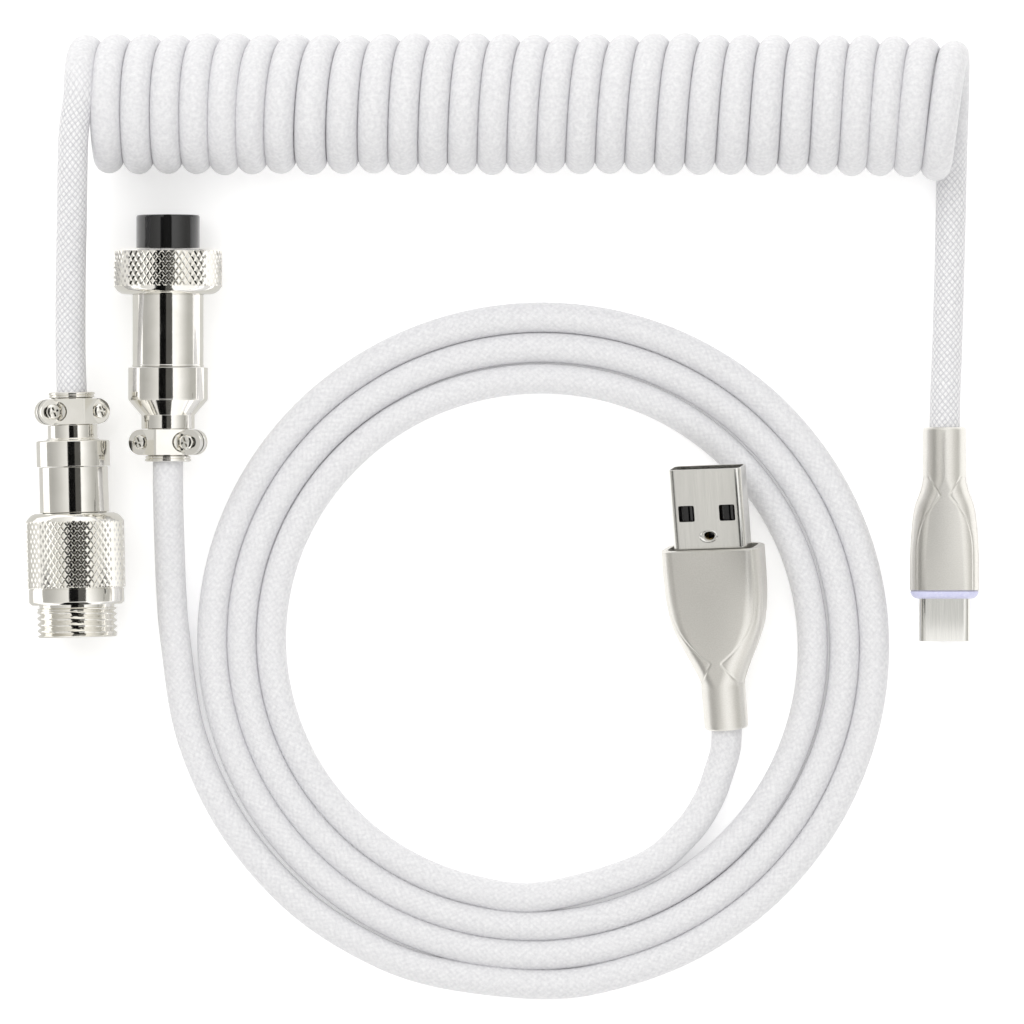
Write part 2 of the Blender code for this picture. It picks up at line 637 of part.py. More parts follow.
def usb_a_plug(finishes):
    """The USB-A plug, whose tip rests over the flat coil: housing, shell and what it holds."""
    frame = connector_frame("usb_a_frame", USB_A_PLACE)
    mouth = USB_A_HOUSING_LENGTH
    bore = (2.45 * MM, 2.45 * MM, 2.45 * MM)
    outer = [
        (0.0, 3.3 * MM, 3.3 * MM, 3.3 * MM),
        (0.4 * MM, 3.5 * MM, 3.5 * MM, 3.5 * MM),
        (7.0 * MM, 3.5 * MM, 3.5 * MM, 3.5 * MM),
        (8.6 * MM, 4.0 * MM, 3.52 * MM, 3.4 * MM),
        (10.4 * MM, 4.75 * MM, 3.60 * MM, 3.3 * MM),
        (13.7 * MM, 6.25 * MM, 3.75 * MM, 3.0 * MM),
        (16.9 * MM, 7.40 * MM, 3.85 * MM, 2.8 * MM),
        (20.5 * MM, 7.95 * MM, 3.90 * MM, 2.6 * MM),
        (24.0 * MM, 8.10 * MM, 3.90 * MM, 2.4 * MM),
        (mouth, 8.10 * MM, 3.90 * MM, 2.2 * MM),
    ]
    inner = [
        (mouth, 7.1 * MM, 2.95 * MM, 1.8 * MM),
        (19.0 * MM, 7.0 * MM, 2.95 * MM, 1.8 * MM),
        (15.0 * MM, 5.8 * MM, 2.9 * MM, 2.0 * MM),
        (11.0 * MM, 3.7 * MM, 2.7 * MM, 2.3 * MM),
        (8.6 * MM, *bore),
        (0.0, *bore),
    ]
    lofted("usb_a_housing", outer, finishes["zinc"], frame, inner)
    mould_outer = [
        (12.5 * MM, 4.2 * MM, 2.60 * MM, 2.0 * MM),
        (15.1 * MM, 5.6 * MM, 2.75 * MM, 1.9 * MM),
        (19.1 * MM, 6.8 * MM, 2.82 * MM, 1.7 * MM),
        (28.0 * MM, 6.95 * MM, 2.82 * MM, 1.7 * MM),
    ]
    mould_inner = [
        (28.0 * MM, 6.12 * MM, 2.36 * MM, 0.6 * MM),
        (22.8 * MM, 6.12 * MM, 2.36 * MM, 0.6 * MM),
        (22.8 * MM, 4.6 * MM, 1.4 * MM, 1.2 * MM),
        (21.0 * MM, 4.6 * MM, 1.4 * MM, 1.2 * MM),
        (20.0 * MM, 1.4 * MM, 1.4 * MM, 1.4 * MM),
        (12.5 * MM, 1.4 * MM, 1.4 * MM, 1.4 * MM),
    ]
    lofted("usb_a_inner_mould", mould_outer, finishes["mould"], frame, mould_inner)
    start = 23.0 * MM
    tip = USB_A_LENGTH
    shell_size = (6.0 * MM, 2.25 * MM, 0.6 * MM)
    shell_bore = (5.7 * MM, 1.95 * MM, 0.4 * MM)
    shell = lofted(
        "usb_a_shell",
        [(start, *shell_size), (tip - 0.2 * MM, *shell_size), (tip, 5.9 * MM, 2.15 * MM, 0.5 * MM)],
        finishes["steel"],
        frame,
        [(tip, *shell_bore), (start, *shell_bore)],
    )
    for hand in (-1, 1):
        window = box(
            f"usb_a_window_{hand}",
            (hand * 3.35 * MM - 1.3 * MM, 33.8 * MM, -3 * MM),
            (hand * 3.35 * MM + 1.3 * MM, 36.4 * MM, 3 * MM),
            None,
            frame,
        )
        cut(shell, window)
    tongue_top = -0.05 * MM
    box(
        "usb_a_tongue",
        (-5.55 * MM, 23.4 * MM, -1.85 * MM),
        (5.55 * MM, 41.2 * MM, tongue_top),
        finishes["insulator"],
        frame,
    )
    for number, (x, half) in enumerate(((-3.5, 0.5), (-1.0, 0.5), (1.0, 0.5), (3.5, 0.5)), 1):
        box(
            f"usb_a_contact_{number}",
            ((x - half) * MM, 22.0 * MM, tongue_top + 0.05 * MM),
            ((x + half) * MM, 40.0 * MM, tongue_top + 0.25 * MM),
            finishes["gold"],
            frame,
        )
    box(
        "usb_a_retainer",
        (-5.55 * MM, 23.4 * MM, 0.3 * MM),
        (5.55 * MM, 29.5 * MM, 1.85 * MM),
        finishes["insulator"],
        frame,
    )
    cable_core("usb_a_cable_core", 8.0 * MM, 21.9 * MM, 1.2 * MM, finishes["core"], frame)


def cords(finishes):
    """The braided cord: tubes where it is straight, one plain solid for each coil."""
    sleeve = finishes["sleeve"]
    spacing = 2.2 * CORD_RADIUS * 2
    cord_tube("coil_lead_usb_c", smooth_route(USB_C_LEAD, spacing), CORD_RADIUS, sleeve)
    cord_tube("coil_lead_receptacle", smooth_route(RECEPTACLE_LEAD, spacing), CORD_RADIUS, sleeve)
    cord_tube("host_lead", smooth_route(HOST_LEAD, spacing), CORD_RADIUS, sleeve)
    cord_tube("host_tail", smooth_route(HOST_TAIL, spacing), CORD_RADIUS, sleeve)
    winding = [
        (WINDING_START_X, WINDING_Y, WINDING_RADIUS + 0.01 * MM),
        (WINDING_END_X, WINDING_Y, WINDING_RADIUS + 0.01 * MM),
    ]
    cord_tube("coil_winding", winding, WINDING_RADIUS, sleeve, resolution=4)
    flat_coil(sleeve)


def flat_coil(finish):
    """The host half's flat round coil as one turned ring that lies on the table."""
    edge = 0.8 * MM
    top = 2 * CORD_RADIUS + 0.02 * MM
    low = 0.02 * MM
    outline = [
        (low, RING_INNER_RADIUS + edge),
        (low, RING_OUTER_RADIUS - edge),
        (low + edge, RING_OUTER_RADIUS),
        (top - edge, RING_OUTER_RADIUS),
        (top, RING_OUTER_RADIUS - edge),
        (top, RING_INNER_RADIUS + edge),
        (top - edge, RING_INNER_RADIUS),
        (low + edge, RING_INNER_RADIUS),
    ]
    ring = turned("host_ring", outline, finish, None, sides=48)
    ring.matrix_world = Matrix.Translation((*RING_CENTRE, 0)) @ Matrix.Rotation(math.radians(90), 4, "X")


def main():
    clear_scene()
    finishes = {
        "nickel": metal("nickel_plated_brass", (0.83, 0.82, 0.79), 0.15),
        "steel": metal("nickel_plated_steel", (0.80, 0.79, 0.76), 0.18),
        "zinc": metal("satin_zinc_alloy", (0.70, 0.69, 0.67), 0.35),
        "gold": metal("gold_plated_contact", (0.85, 0.62, 0.28), 0.25),
        "insulator": material("black_moulded_insulator", (0.02, 0.02, 0.02), 0.25),
        "mould": material("grey_inner_mould", (0.25, 0.25, 0.25), 0.5),
        "bezel": material("lavender_bezel", (0.62, 0.62, 0.85), 0.3),
        "board": material("green_circuit_board", (0.05, 0.2, 0.08), 0.5),
        "rubber": material("black_rubber", (0.03, 0.03, 0.03), 0.8),
        "core": material("cable_jacket", (0.75, 0.75, 0.74), 0.6),
        "sleeve": material("white_braided_sleeve", (0.85, 0.85, 0.85), 0.8),
    }
    usb_c_plug(finishes)
    receptacle(finishes)
    cable_plug(finishes)
    usb_a_plug(finishes)
    cords(finishes)


main()
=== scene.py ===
"""Studio scene of a coiled USB keyboard cable in two halves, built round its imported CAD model.

The camera looks straight down at the table. Each connector is modelled in a frame of its own, as in
the CAD model: +Y runs from the cable entry to the mating end and +Z is its upper side.
"""

import json
import math

import bmesh
import bpy
from mathutils import Matrix, Vector


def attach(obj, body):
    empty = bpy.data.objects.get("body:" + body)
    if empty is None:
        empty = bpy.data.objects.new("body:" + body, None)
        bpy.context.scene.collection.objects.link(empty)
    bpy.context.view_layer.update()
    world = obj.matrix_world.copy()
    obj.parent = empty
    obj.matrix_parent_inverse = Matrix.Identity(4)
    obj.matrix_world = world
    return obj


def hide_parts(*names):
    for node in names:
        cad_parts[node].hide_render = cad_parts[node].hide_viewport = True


MM = 0.001

# The cord.
CORD_RADIUS = 2.42 * MM
CORD_SIDES = 24
CORD_STEP = 0.95 * MM

# The curly winding: its axis, the radius to the cord's middle, and the turns that show.
WINDING_RADIUS = 8.82 * MM
WINDING_Y = 58.84 * MM
WINDING_Z = 11.33 * MM
WINDING_RIGHT = 71.95 * MM
WINDING_LEFT = -66.31 * MM
WINDING_TURNS = 29

# How far a turn leans off the axis at each end, how far its front runs ahead of its back,
# and how much the turns differ in radius.
LEAN_RIGHT = 0.49 * MM
LEAN_LEFT = -0.63 * MM
WINDING_SLANT = 0.7 * MM
LEFT_HALF_SLANT = 0.3 * MM
WINDING_UNEVEN = 0.09 * MM

# Where turns have slipped along or sag towards the lead: the turn, how many turns it spreads over, how far.
WINDING_SLIPS = ((4.5, 2.5, 1.0 * MM), (22.9, 1.4, -0.7 * MM))
WINDING_SAGS = ((0, 0.85, 0.85 * MM), (0, 4.2, 0.35 * MM))

# The flat coil: its middle, and the height of the cord's middle.
RING_CENTRE = (6.3 * MM, -26.68 * MM)
RING_HEIGHT = 2.42 * MM

# Where each connector lies: the cable entry's place, then pitch, roll and yaw in degrees.
USB_C_PLACE = ((70.61 * MM, 7.34 * MM, 3.45 * MM), (0, 0, 180))
RECEPTACLE_PLACE = ((-68.74 * MM, 12.92 * MM, 7.86 * MM), (0, 0, 181.38))
PLUG_PLACE = ((-53.36 * MM, 1.83 * MM, 8.65 * MM), (0, 0, 0))
USB_A_PLACE = ((35.79 * MM, -40.65 * MM, 3.56 * MM), (8.5, -16, 4.4))

# The knurl's diamonds: their length, the mesh squares along each, the share of a diamond from its
# groove to its flat top, and the least radius that is knurled.
KNURL_PERIOD = 1.54 * MM
KNURL_CELL = 8
KNURL_FLAT = 0.5
KNURLED_FROM = 7.5 * MM

# The inline connectors' thread, and the circle that their pins and sockets stand on.
THREAD_PITCH = 1.0 * MM
PIN_CIRCLE = 2.6 * MM

# The cable clamp on each of them, from the cable's entry, and its tilt about the axis in degrees.
CLAMP_START = 1.05 * MM
CLAMP_LENGTH = 4.1 * MM
CLAMP_SCREW_OFFSET = 4.1 * MM
CLAMP_TILT = 25

# The USB-A shell's windows and dimple: how far aside and how far along.
WINDOW_OFFSET = 3.35 * MM
WINDOW_MIDDLE = 35.1 * MM
DIMPLE_MIDDLE = 31.4 * MM

# The camera, above the middle of the layout.
VIEW_CENTRE = (1.5 * MM, -6.2 * MM)
VIEW_WIDTH = 163.84 * MM
LENS = 600
SENSOR = 36


def linear(colour):
    """The linear RGBA of an sRGB hex colour."""
    values = []
    for start in (0, 2, 4):
        value = int(colour[start:start + 2], 16) / 255
        values.append(value / 12.92 if value <= 0.04045 else ((value + 0.055) / 1.055) ** 2.4)
    return (*values, 1)


def node(tree, kind, settings=None, stops=(), **links):
    """Adds a shader node. A link's value is a node, a socket, or a constant for the node's own socket.

    stops are the (place, colour) pairs of a colour ramp."""
    made = tree.nodes.new(kind)
    for name, value in (settings or {}).items():
        setattr(made, name, value)
    for name, value in links.items():
        socket = made.inputs[int(name[1:])] if name[1:].isdigit() else made.inputs[name.replace("_", " ")]
        if isinstance(value, bpy.types.Node):
            value = value.outputs[0]
        if isinstance(value, bpy.types.NodeSocket):
            tree.links.new(value, socket)
        else:
            socket.default_value = value
    if stops:
        elements = made.color_ramp.elements
        while len(elements) < len(stops):
            elements.new(0.5)
        for element, (place, colour) in zip(elements, stops):
            element.position = place
            element.color = linear(colour)
    return made


def finish_of(name, **constants):
    """A new material, whose shader has these constants: (material, its tree, its shader)."""
    made = bpy.data.materials.new(name)
    made.use_nodes = True
    shader = made.node_tree.nodes["Principled BSDF"]
    for socket, value in constants.items():
        shader.inputs[socket.replace("_", " ")].default_value = value
    return made, made.node_tree, shader


def mottled(tree, shader, scale, dark, light, stretch=None):
    """Colours a shader by fine noise between two close tones, and returns the noise."""
    place = node(tree, "ShaderNodeTexCoord").outputs["Object"]
    if stretch:
        place = node(tree, "ShaderNodeMapping", i0=place, i3=stretch)
    noise = node(tree, "ShaderNodeTexNoise", Vector=place, Scale=scale, Detail=2.0)
    colour = node(tree, "ShaderNodeValToRGB", stops=((0.3, dark), (0.7, light)), i0=noise)
    tree.links.new(colour.outputs[0], shader.inputs["Base Color"])
    return noise


def roughened(tree, shader, noise, low, high):
    """Lets the noise vary the roughness too."""
    rough = node(tree, "ShaderNodeMapRange", i0=noise, i3=low, i4=high)
    tree.links.new(rough.outputs[0], shader.inputs["Roughness"])


def braided_sleeve():
    """Fine white polyester braid: crossing strands that show as soft diamonds where it is stretched open."""
    made, tree, shader = finish_of("braided sleeve", Roughness=0.62, Sheen_Weight=0.2, Sheen_Roughness=0.4)
    strands = 16
    strand_length = 1.1
    threads_per_strand = 2.5

    def math_of(operation, *values):
        inputs = {f"i{number}": value for number, value in enumerate(values)}
        return node(tree, "ShaderNodeMath", {"operation": operation}, **inputs)

    place = node(tree, "ShaderNodeUVMap", {"uv_map": "braid"})
    openness = node(tree, "ShaderNodeAttribute", {"attribute_name": "openness"}).outputs["Fac"]
    split = node(tree, "ShaderNodeSeparateXYZ", i0=place)
    solid_place = node(tree, "ShaderNodeTexCoord").outputs["Object"]
    wander = node(tree, "ShaderNodeTexNoise", Vector=solid_place, Scale=500.0, Detail=2.0)
    along = math_of("DIVIDE", split.outputs[1], strand_length)
    along = math_of("MULTIPLY_ADD", wander, 0.5, along)
    around = math_of("MULTIPLY", split.outputs[0], strands)
    ways = [math_of(operation, around, along) for operation in ("ADD", "SUBTRACT")]
    waves = [math_of("ABSOLUTE", math_of("SINE", math_of("MULTIPLY", way, math.pi))) for way in ways]
    hump = math_of("POWER", math_of("MULTIPLY", *waves), 0.6)
    crossings = math_of("ADD", *[math_of("FLOOR", way) for way in ways])
    over = math_of("FLOORED_MODULO", crossings, 2.0)
    threads = [math_of("SINE", math_of("MULTIPLY", way, math.tau * threads_per_strand)) for way in ways]
    thread_line = node(tree, "ShaderNodeMix", {"data_type": "FLOAT"}, i0=over, i2=threads[0], i3=threads[1])
    height = math_of("MULTIPLY_ADD", thread_line, 0.2, hump)
    fleck = node(tree, "ShaderNodeTexNoise", Vector=solid_place, Scale=1700.0, Detail=3.0)
    # The open braid's tone follows the relief's height. It is lighter on the strands' crowns and darker at
    # their edges and along the thread lines, a painted shade on the weave.
    tone = math_of("MULTIPLY_ADD", height, 0.55, math_of("MULTIPLY", fleck, 0.5))
    closed_stops = ((0.3, "D3D3D6"), (0.7, "E3E3E5"))
    closed_tone = node(tree, "ShaderNodeValToRGB", stops=closed_stops, i0=fleck)
    open_stops = ((0.25, "C4C4C8"), (0.55, "DCDCDF"), (0.85, "F2F2F3"))
    open_tone = node(tree, "ShaderNodeValToRGB", stops=open_stops, i0=tone)
    colour = node(tree, "ShaderNodeMix", {"data_type": "RGBA"}, i0=openness, i6=closed_tone, i7=open_tone)
    lift = math_of("MULTIPLY_ADD", openness, 0.09 * MM, 0.045 * MM)
    bump = node(tree, "ShaderNodeBump", Height=height, Strength=0.5, Distance=lift)
    tree.links.new(colour.outputs[2], shader.inputs["Base Color"])
    tree.links.new(bump.outputs[0], shader.inputs["Normal"])
    return made


def plated_nickel():
    """Bright nickel plate: mirror smooth, slightly warm, with the faintest cloudiness."""
    made, tree, shader = finish_of("bright nickel plate", Metallic=1.0)
    cloud = mottled(tree, shader, 350.0, "F0EEE8", "F7F5F0")
    roughened(tree, shader, cloud, 0.05, 0.12)
    return made


def drawn_steel():
    """Nickel plate on drawn steel: a soft mirror with fine lines along the draw."""
    made, tree, shader = finish_of("nickel-plated drawn steel", Metallic=1.0)
    lines = mottled(tree, shader, 1.0, "E0DFDB", "EBEAE6", stretch=(6000, 150, 6000))
    roughened(tree, shader, lines, 0.16, 0.26)
    return made


def pearl_zinc():
    """Satin pearl-nickel on die-cast zinc: soft warm grey with a fine bead-blasted grain."""
    made, tree, shader = finish_of("satin pearl nickel", Metallic=0.9, Roughness=0.36)
    grain = mottled(tree, shader, 6000.0, "DCDAD4", "E6E4DF")
    bump = node(tree, "ShaderNodeBump", Height=grain, Strength=0.12, Distance=0.02 * MM)
    tree.links.new(bump.outputs[0], shader.inputs["Normal"])
    return made


def moulded(name, dark, light, roughness, coat=0.0):
    """A moulded plastic or rubber: a fine mottle between two close tones."""
    made, tree, shader = finish_of(name, Coat_Weight=coat)
    mottle = mottled(tree, shader, 2500.0, dark, light)
    roughened(tree, shader, mottle, roughness - 0.04, roughness + 0.04)
    return made


def gold_flash():
    """Thin gold plate on the contacts, a little paler where it wears."""
    made, tree, shader = finish_of("gold flash", Metallic=1.0, Roughness=0.22)
    mottled(tree, shader, 900.0, "D9A94A", "E8C878")
    return made


def pale_floor():
    """Smooth white paper sweep with the faintest tooth, lit a little from behind."""
    lit = {"Emission_Color": (1, 1, 1, 1), "Emission_Strength": 0.25}
    made, tree, shader = finish_of("paper sweep", Roughness=0.9, Specular_IOR_Level=0.0, **lit)
    mottled(tree, shader, 900.0, "F7F7F7", "FAFAFA")
    return made


def glowing_reflection_card(name, shade):
    """A studio card that glows in its shade and is seen only in reflections: a painted reflection in the
    metal.
    """
    shine = {"Emission_Color": linear(shade), "Emission_Strength": 1.0}
    return finish_of(name, Base_Color=(0, 0, 0, 1), Specular_IOR_Level=0.0, **shine)[0]


def in_scene(name, data):
    """A new object in the scene."""
    made = bpy.data.objects.new(name, data)
    bpy.context.collection.objects.link(made)
    return made


def connector_matrix(place):
    """From a connector's own frame to the table's."""
    position, (pitch, roll, yaw) = place
    yaw_turn = Matrix.Rotation(math.radians(yaw), 4, "Z")
    pitch_turn = Matrix.Rotation(math.radians(pitch), 4, "X")
    roll_turn = Matrix.Rotation(math.radians(roll), 4, "Y")
    return Matrix.Translation(position) @ yaw_turn @ pitch_turn @ roll_turn


def smooth_route(route, spacing):
    """Points on the smooth curve through a route's own points, about spacing apart."""
    points = [Vector(point) for point in route]
    ends = [2 * points[0] - points[1], *points, 2 * points[-1] - points[-2]]
    found = []
    for before, start, end, after in zip(ends, ends[1:], ends[2:], ends[3:]):
        steps = max(1, round((end - start).length / spacing))
        for step in range(steps):
            t = step / steps
            even = 2 * start + (end - before) * t + (2 * before - 5 * start + 4 * end - after) * t**2
            found.append((even + (3 * start - before - 3 * end + after) * t**3) / 2)
    return found + [points[-1]]


def length_of(route):
    return sum((b - a).length for a, b in zip(route, route[1:]))


def evened(points, spacing):
    """The same line with its points evenly spaced."""
    total = length_of(points)
    count = round(total / spacing)
    found = [points[0].copy()]
    gone = 0.0
    for a, b in zip(points, points[1:]):
        stretch = (b - a).length
        while len(found) < count and gone + stretch >= len(found) * total / count:
            found.append(a.lerp(b, (len(found) * total / count - gone) / stretch))
        gone += stretch
    return found + [points[-1].copy()]


def cord_mesh(name, route, finish, openness, half_width):
    """A round tube along a route, with the braid's place as its UV map: the share of a turn around, and the
    distance along in millimetres.

    openness is how far the braid is stretched open, from 0 to 1, and half_width the
    tube's radius, each at a distance along."""
    mesh = bpy.data.meshes.new(name)
    shape = bmesh.new()
    layer = shape.loops.layers.uv.new("braid")
    distances = [0.0]
    for before, point in zip(route, route[1:]):
        distances.append(distances[-1] + (point - before).length)
    rings = []
    side = Vector((0, 0, 1))
    for i, point in enumerate(route):
        radius = half_width(distances[i])
        ahead = route[min(i + 1, len(route) - 1)] - route[max(i - 1, 0)]
        ahead.normalize()
        side = (side - ahead * side.dot(ahead)).normalized()
        other = ahead.cross(side)
        ring = []
        for step in range(CORD_SIDES):
            angle = math.tau * step / CORD_SIDES
            outward = side * math.cos(angle) + other * math.sin(angle)
            ring.append(shape.verts.new(point + outward * radius))
        rings.append(ring)
    for i, (first, second) in enumerate(zip(rings, rings[1:])):
        start, end = distances[i] / MM, distances[i + 1] / MM
        for step in range(CORD_SIDES):
            after = (step + 1) % CORD_SIDES
            face = shape.faces.new((first[step], first[after], second[after], second[step]))
            face.smooth = True
            places = ((step, start), (step + 1, start), (step + 1, end), (step, end))
            for loop, (turn, distance) in zip(face.loops, places):
                loop[layer].uv = (turn / CORD_SIDES, distance)
    shape.faces.new(list(reversed(rings[0])))
    shape.faces.new(rings[-1])
    shape.to_mesh(mesh)
    shape.free()
    values = []
    for distance in distances:
        values += [openness(distance)] * CORD_SIDES
    mesh.attributes.new("openness", "FLOAT", "POINT").data.foreach_set("value", values)
    mesh.materials.append(finish)
    return in_scene(name, mesh)


def bells(turns, humps):
    """The sum of smooth humps, each from (its middle, its width, its height)."""
    return sum(height * math.exp(-0.5 * ((turns - middle) / width) ** 2) for middle, width, height in humps)


def within(value):
    """The value, held between 0 and 1."""
    return min(1, max(0, value))


def winding_point(turns):
    """The cord's middle in the winding, at turns from below the right-hand end."""
    along = (turns - 0.25) / WINDING_TURNS
    angle = math.tau * turns
    lean = LEAN_RIGHT + (LEAN_LEFT - LEAN_RIGHT) * along
    x = WINDING_RIGHT + (WINDING_LEFT - WINDING_RIGHT) * along - lean + lean * math.sin(angle)
    # The slant fades out at both ends, where the cord turns off into a lead.
    settled = within(turns / 0.9) * (1 - 0.5 * within((turns - WINDING_TURNS + 0.4) / 0.9))
    slant = WINDING_SLANT + LEFT_HALF_SLANT * within((turns - 17) / 4)
    x += slant * settled * math.cos(angle)
    # A slipped turn has moved most at the front and below.
    x += bells(turns, WINDING_SLIPS) * (0.6 - 0.35 * math.cos(angle) - 0.5 * math.sin(angle))
    # The lead comes in a little to the left.
    x -= 0.6 * MM * max(0, 1 - turns / 0.25)
    radius = WINDING_RADIUS + WINDING_UNEVEN * (math.sin(2.1 * turns) + math.sin(0.83 * turns))
    y = WINDING_Y - bells(turns, WINDING_SAGS) + radius * math.sin(angle)
    return Vector((x, y, WINDING_Z - WINDING_RADIUS * math.cos(angle)))


def winding_half_width(turns):
    """Half the room a turn has between its neighbours, which its soft sleeve fills."""
    if not 1 < turns < WINDING_TURNS - 1:
        return CORD_RADIUS
    room = (winding_point(turns - 1).x - winding_point(turns + 1).x) / 2
    return min(1.07 * CORD_RADIUS, max(CORD_RADIUS, room / 2 + 0.03 * MM))


def coil_half_route():
    """From inside the USB-C plug, round the winding and down to inside the receptacle."""
    route = [
        (70.61 * MM, 5.6 * MM, 3.45 * MM),
        (70.62 * MM, 7.64 * MM, 3.45 * MM),
        (70.74 * MM, 12.4 * MM, 3.20 * MM),
        (71.05 * MM, 20.0 * MM, 2.55 * MM),
        (71.35 * MM, 30.0 * MM, 2.42 * MM),
        (71.60 * MM, 40.0 * MM, 2.42 * MM),
        (71.80 * MM, 49.0 * MM, 2.42 * MM),
    ]
    points_per_turn = 60
    last_turn = WINDING_TURNS + 0.5
    for step in range(3, round(last_turn * points_per_turn) + 1, 2):
        route.append(winding_point(step / points_per_turn))
    route += [
        (-68.10 * MM, 54.5 * MM, 19.6 * MM),
        (-68.30 * MM, 50.2 * MM, 18.9 * MM),
        (-68.40 * MM, 46.2 * MM, 17.9 * MM),
        (-68.55 * MM, 40.0 * MM, 15.7 * MM),
        (-68.75 * MM, 33.0 * MM, 12.8 * MM),
        (-68.88 * MM, 26.0 * MM, 10.2 * MM),
        (-68.92 * MM, 19.0 * MM, 8.30 * MM),
        (-68.75 * MM, 13.22 * MM, 7.86 * MM),
        (-68.70 * MM, 11.2 * MM, 7.86 * MM),
    ]
    return evened(smooth_route(route, 1.0 * MM), CORD_STEP)


def ring_route():
    """The flat coil, round from its left side by the bottom and inwards."""
    quarters = [(180, 58.6), (225, 57.1), (270, 55.0), (360, 53.07), (450, 51.58), (540, 52.7)]
    quarters += [(630, 50.35), (720, 48.38), (810, 46.78), (900, 48.05), (990, 45.70), (1080, 43.25)]
    quarters += [(1170, 41.81), (1260, 43.33), (1350, 41.04)]
    spaced = smooth_route([(angle, radius, 0) for angle, radius in quarters], 15)
    route = []
    for angle, radius, _ in spaced:
        x = RING_CENTRE[0] + radius * MM * math.cos(math.radians(angle))
        y = RING_CENTRE[1] + radius * MM * math.sin(math.radians(angle))
        route.append(Vector((x, y, RING_HEIGHT)))
    return route


def host_half_route():
    """From inside the plug, round the flat coil and up to inside the USB-A plug."""
    route = [
        (-53.36 * MM, 3.6 * MM, 8.65 * MM),
        (-53.36 * MM, 1.53 * MM, 8.65 * MM),
        (-53.36 * MM, -3.5 * MM, 8.20 * MM),
        (-53.20 * MM, -11.0 * MM, 5.80 * MM),
        (-52.92 * MM, -19.0 * MM, 3.40 * MM),
    ]
    route += ring_route()
    inside = connector_matrix(USB_A_PLACE) @ Vector((0, 2.0 * MM, 0))
    route += [
        (21.98 * MM, -63.3 * MM, 2.42 * MM),
        (29.28 * MM, -57.5 * MM, 2.42 * MM),
        (32.92 * MM, -52.2 * MM, 2.42 * MM),
        (34.60 * MM, -47.7 * MM, 2.55 * MM),
        (35.60 * MM, -44.3 * MM, 3.10 * MM),
        (35.82 * MM, -40.98 * MM, 3.52 * MM),
        tuple(inside),
    ]
    return evened(smooth_route(route, 1.0 * MM), CORD_STEP)


def eased(outline, reach, closed=False):
    """The outline with each corner rounded over reach, or less beside a short edge."""
    points = [Vector(point) for point in outline]
    found = [] if closed else [points[0]]
    corners = range(len(points)) if closed else range(1, len(points) - 1)
    for i in corners:
        corner = points[i]
        before = points[i - 1] - corner
        after = points[(i + 1) % len(points)] - corner
        near = min(reach, 0.4 * before.length, 0.4 * after.length)
        start = corner + before.normalized() * near
        end = corner + after.normalized() * near
        for t in (0, 0.25, 0.5, 0.75, 1):
            found.append(start * (1 - t) ** 2 + corner * 2 * t * (1 - t) + end * t**2)
    return found if closed else found + [points[-1]]


def finished(name, shape, finish, place, smooth_angle=35):
    """A mesh object in a connector's frame, smooth but for its sharp edges."""
    bmesh.ops.recalc_face_normals(shape, faces=shape.faces)
    mesh = bpy.data.meshes.new(name)
    shape.to_mesh(mesh)
    shape.free()
    if smooth_angle:
        mesh.shade_smooth()
        mesh.set_sharp_from_angle(angle=math.radians(smooth_angle))
    mesh.materials.append(finish)
    made = in_scene(name, mesh)
    made.matrix_world = place
    return made


def skinned(name, rings, finish, place, closed=False, smooth_angle=35, crossed_from=None):
    """Skins rings of points, each from (x, along, z), and caps the ends unless it closes on itself.

    With crossed_from, its squares are split both ways by turns, so that a crossed relief stays crisp."""
    shape = bmesh.new()
    made = [[shape.verts.new(point) for point in ring] for ring in rings]
    pairs = list(zip(made, made[1:]))
    if closed:
        pairs.append((made[-1], made[0]))
    for row, (first, second) in enumerate(pairs):
        for i in range(len(first)):
            j = (i + 1) % len(first)
            if crossed_from is None:
                shape.faces.new((first[i], first[j], second[j], second[i]))
            elif (i + row - crossed_from) % 2:
                shape.faces.new((first[i], first[j], second[i]))
                shape.faces.new((first[j], second[j], second[i]))
            else:
                shape.faces.new((first[i], first[j], second[j]))
                shape.faces.new((first[i], second[j], second[i]))
    if not closed:
        shape.faces.new(made[0])
        shape.faces.new(list(reversed(made[-1])))
    return finished(name, shape, finish, place, smooth_angle)


def turned(
    name, outline, finish, place, sides=96, centre=(0, 0), relief=None, closed=True, crossed_from=None
):
    """Turns (along, radius) points about the line along Y through centre.

    relief, where given, adds to the radius at (turn, along, radius)."""
    rings = []
    for along, radius in outline:
        ring = []
        for step in range(sides):
            turn = step / sides
            reach = radius + (relief(turn, along, radius) if relief else 0)
            angle = math.tau * turn
            ring.append((centre[0] + reach * math.cos(angle), along, centre[1] + reach * math.sin(angle)))
        rings.append(ring)
    return skinned(name, rings, finish, place, closed, crossed_from=crossed_from)


def spread(start, end, radius, step):
    """Evenly spaced outline points at one radius."""
    count = math.ceil((end - start) / step)
    return [(start + (end - start) * i / count, radius) for i in range(count + 1)]


def knurl(starts, first, last, depth=0.2 * MM):
    """Relief of a diamond knurl between two places along: flat-topped diamonds between V grooves."""
    period = KNURL_CELL * (last - first) / knurl_rows(first, last)

    def relief(turn, along, radius):
        if along < first or along > last or radius < KNURLED_FROM:
            return 0
        across = turn * starts
        down = (along - first) / period
        heights = [1 - abs(2 * ((across + side * down) % 1) - 1) for side in (1, -1)]
        fade = min(1, (along - first) / (0.2 * MM), (last - along) / (0.2 * MM))
        return -depth * fade * (1 - min(1, min(heights) / KNURL_FLAT))

    return relief


def knurl_rows(first, last):
    """How many rows of mesh squares a knurled band has, at about KNURL_CELL for each diamond."""
    return round((last - first) / (KNURL_PERIOD / KNURL_CELL))


def knurl_band(first, last, radius):
    rows = knurl_rows(first, last)
    return [(first + (last - first) * i / rows, radius) for i in range(rows + 1)]


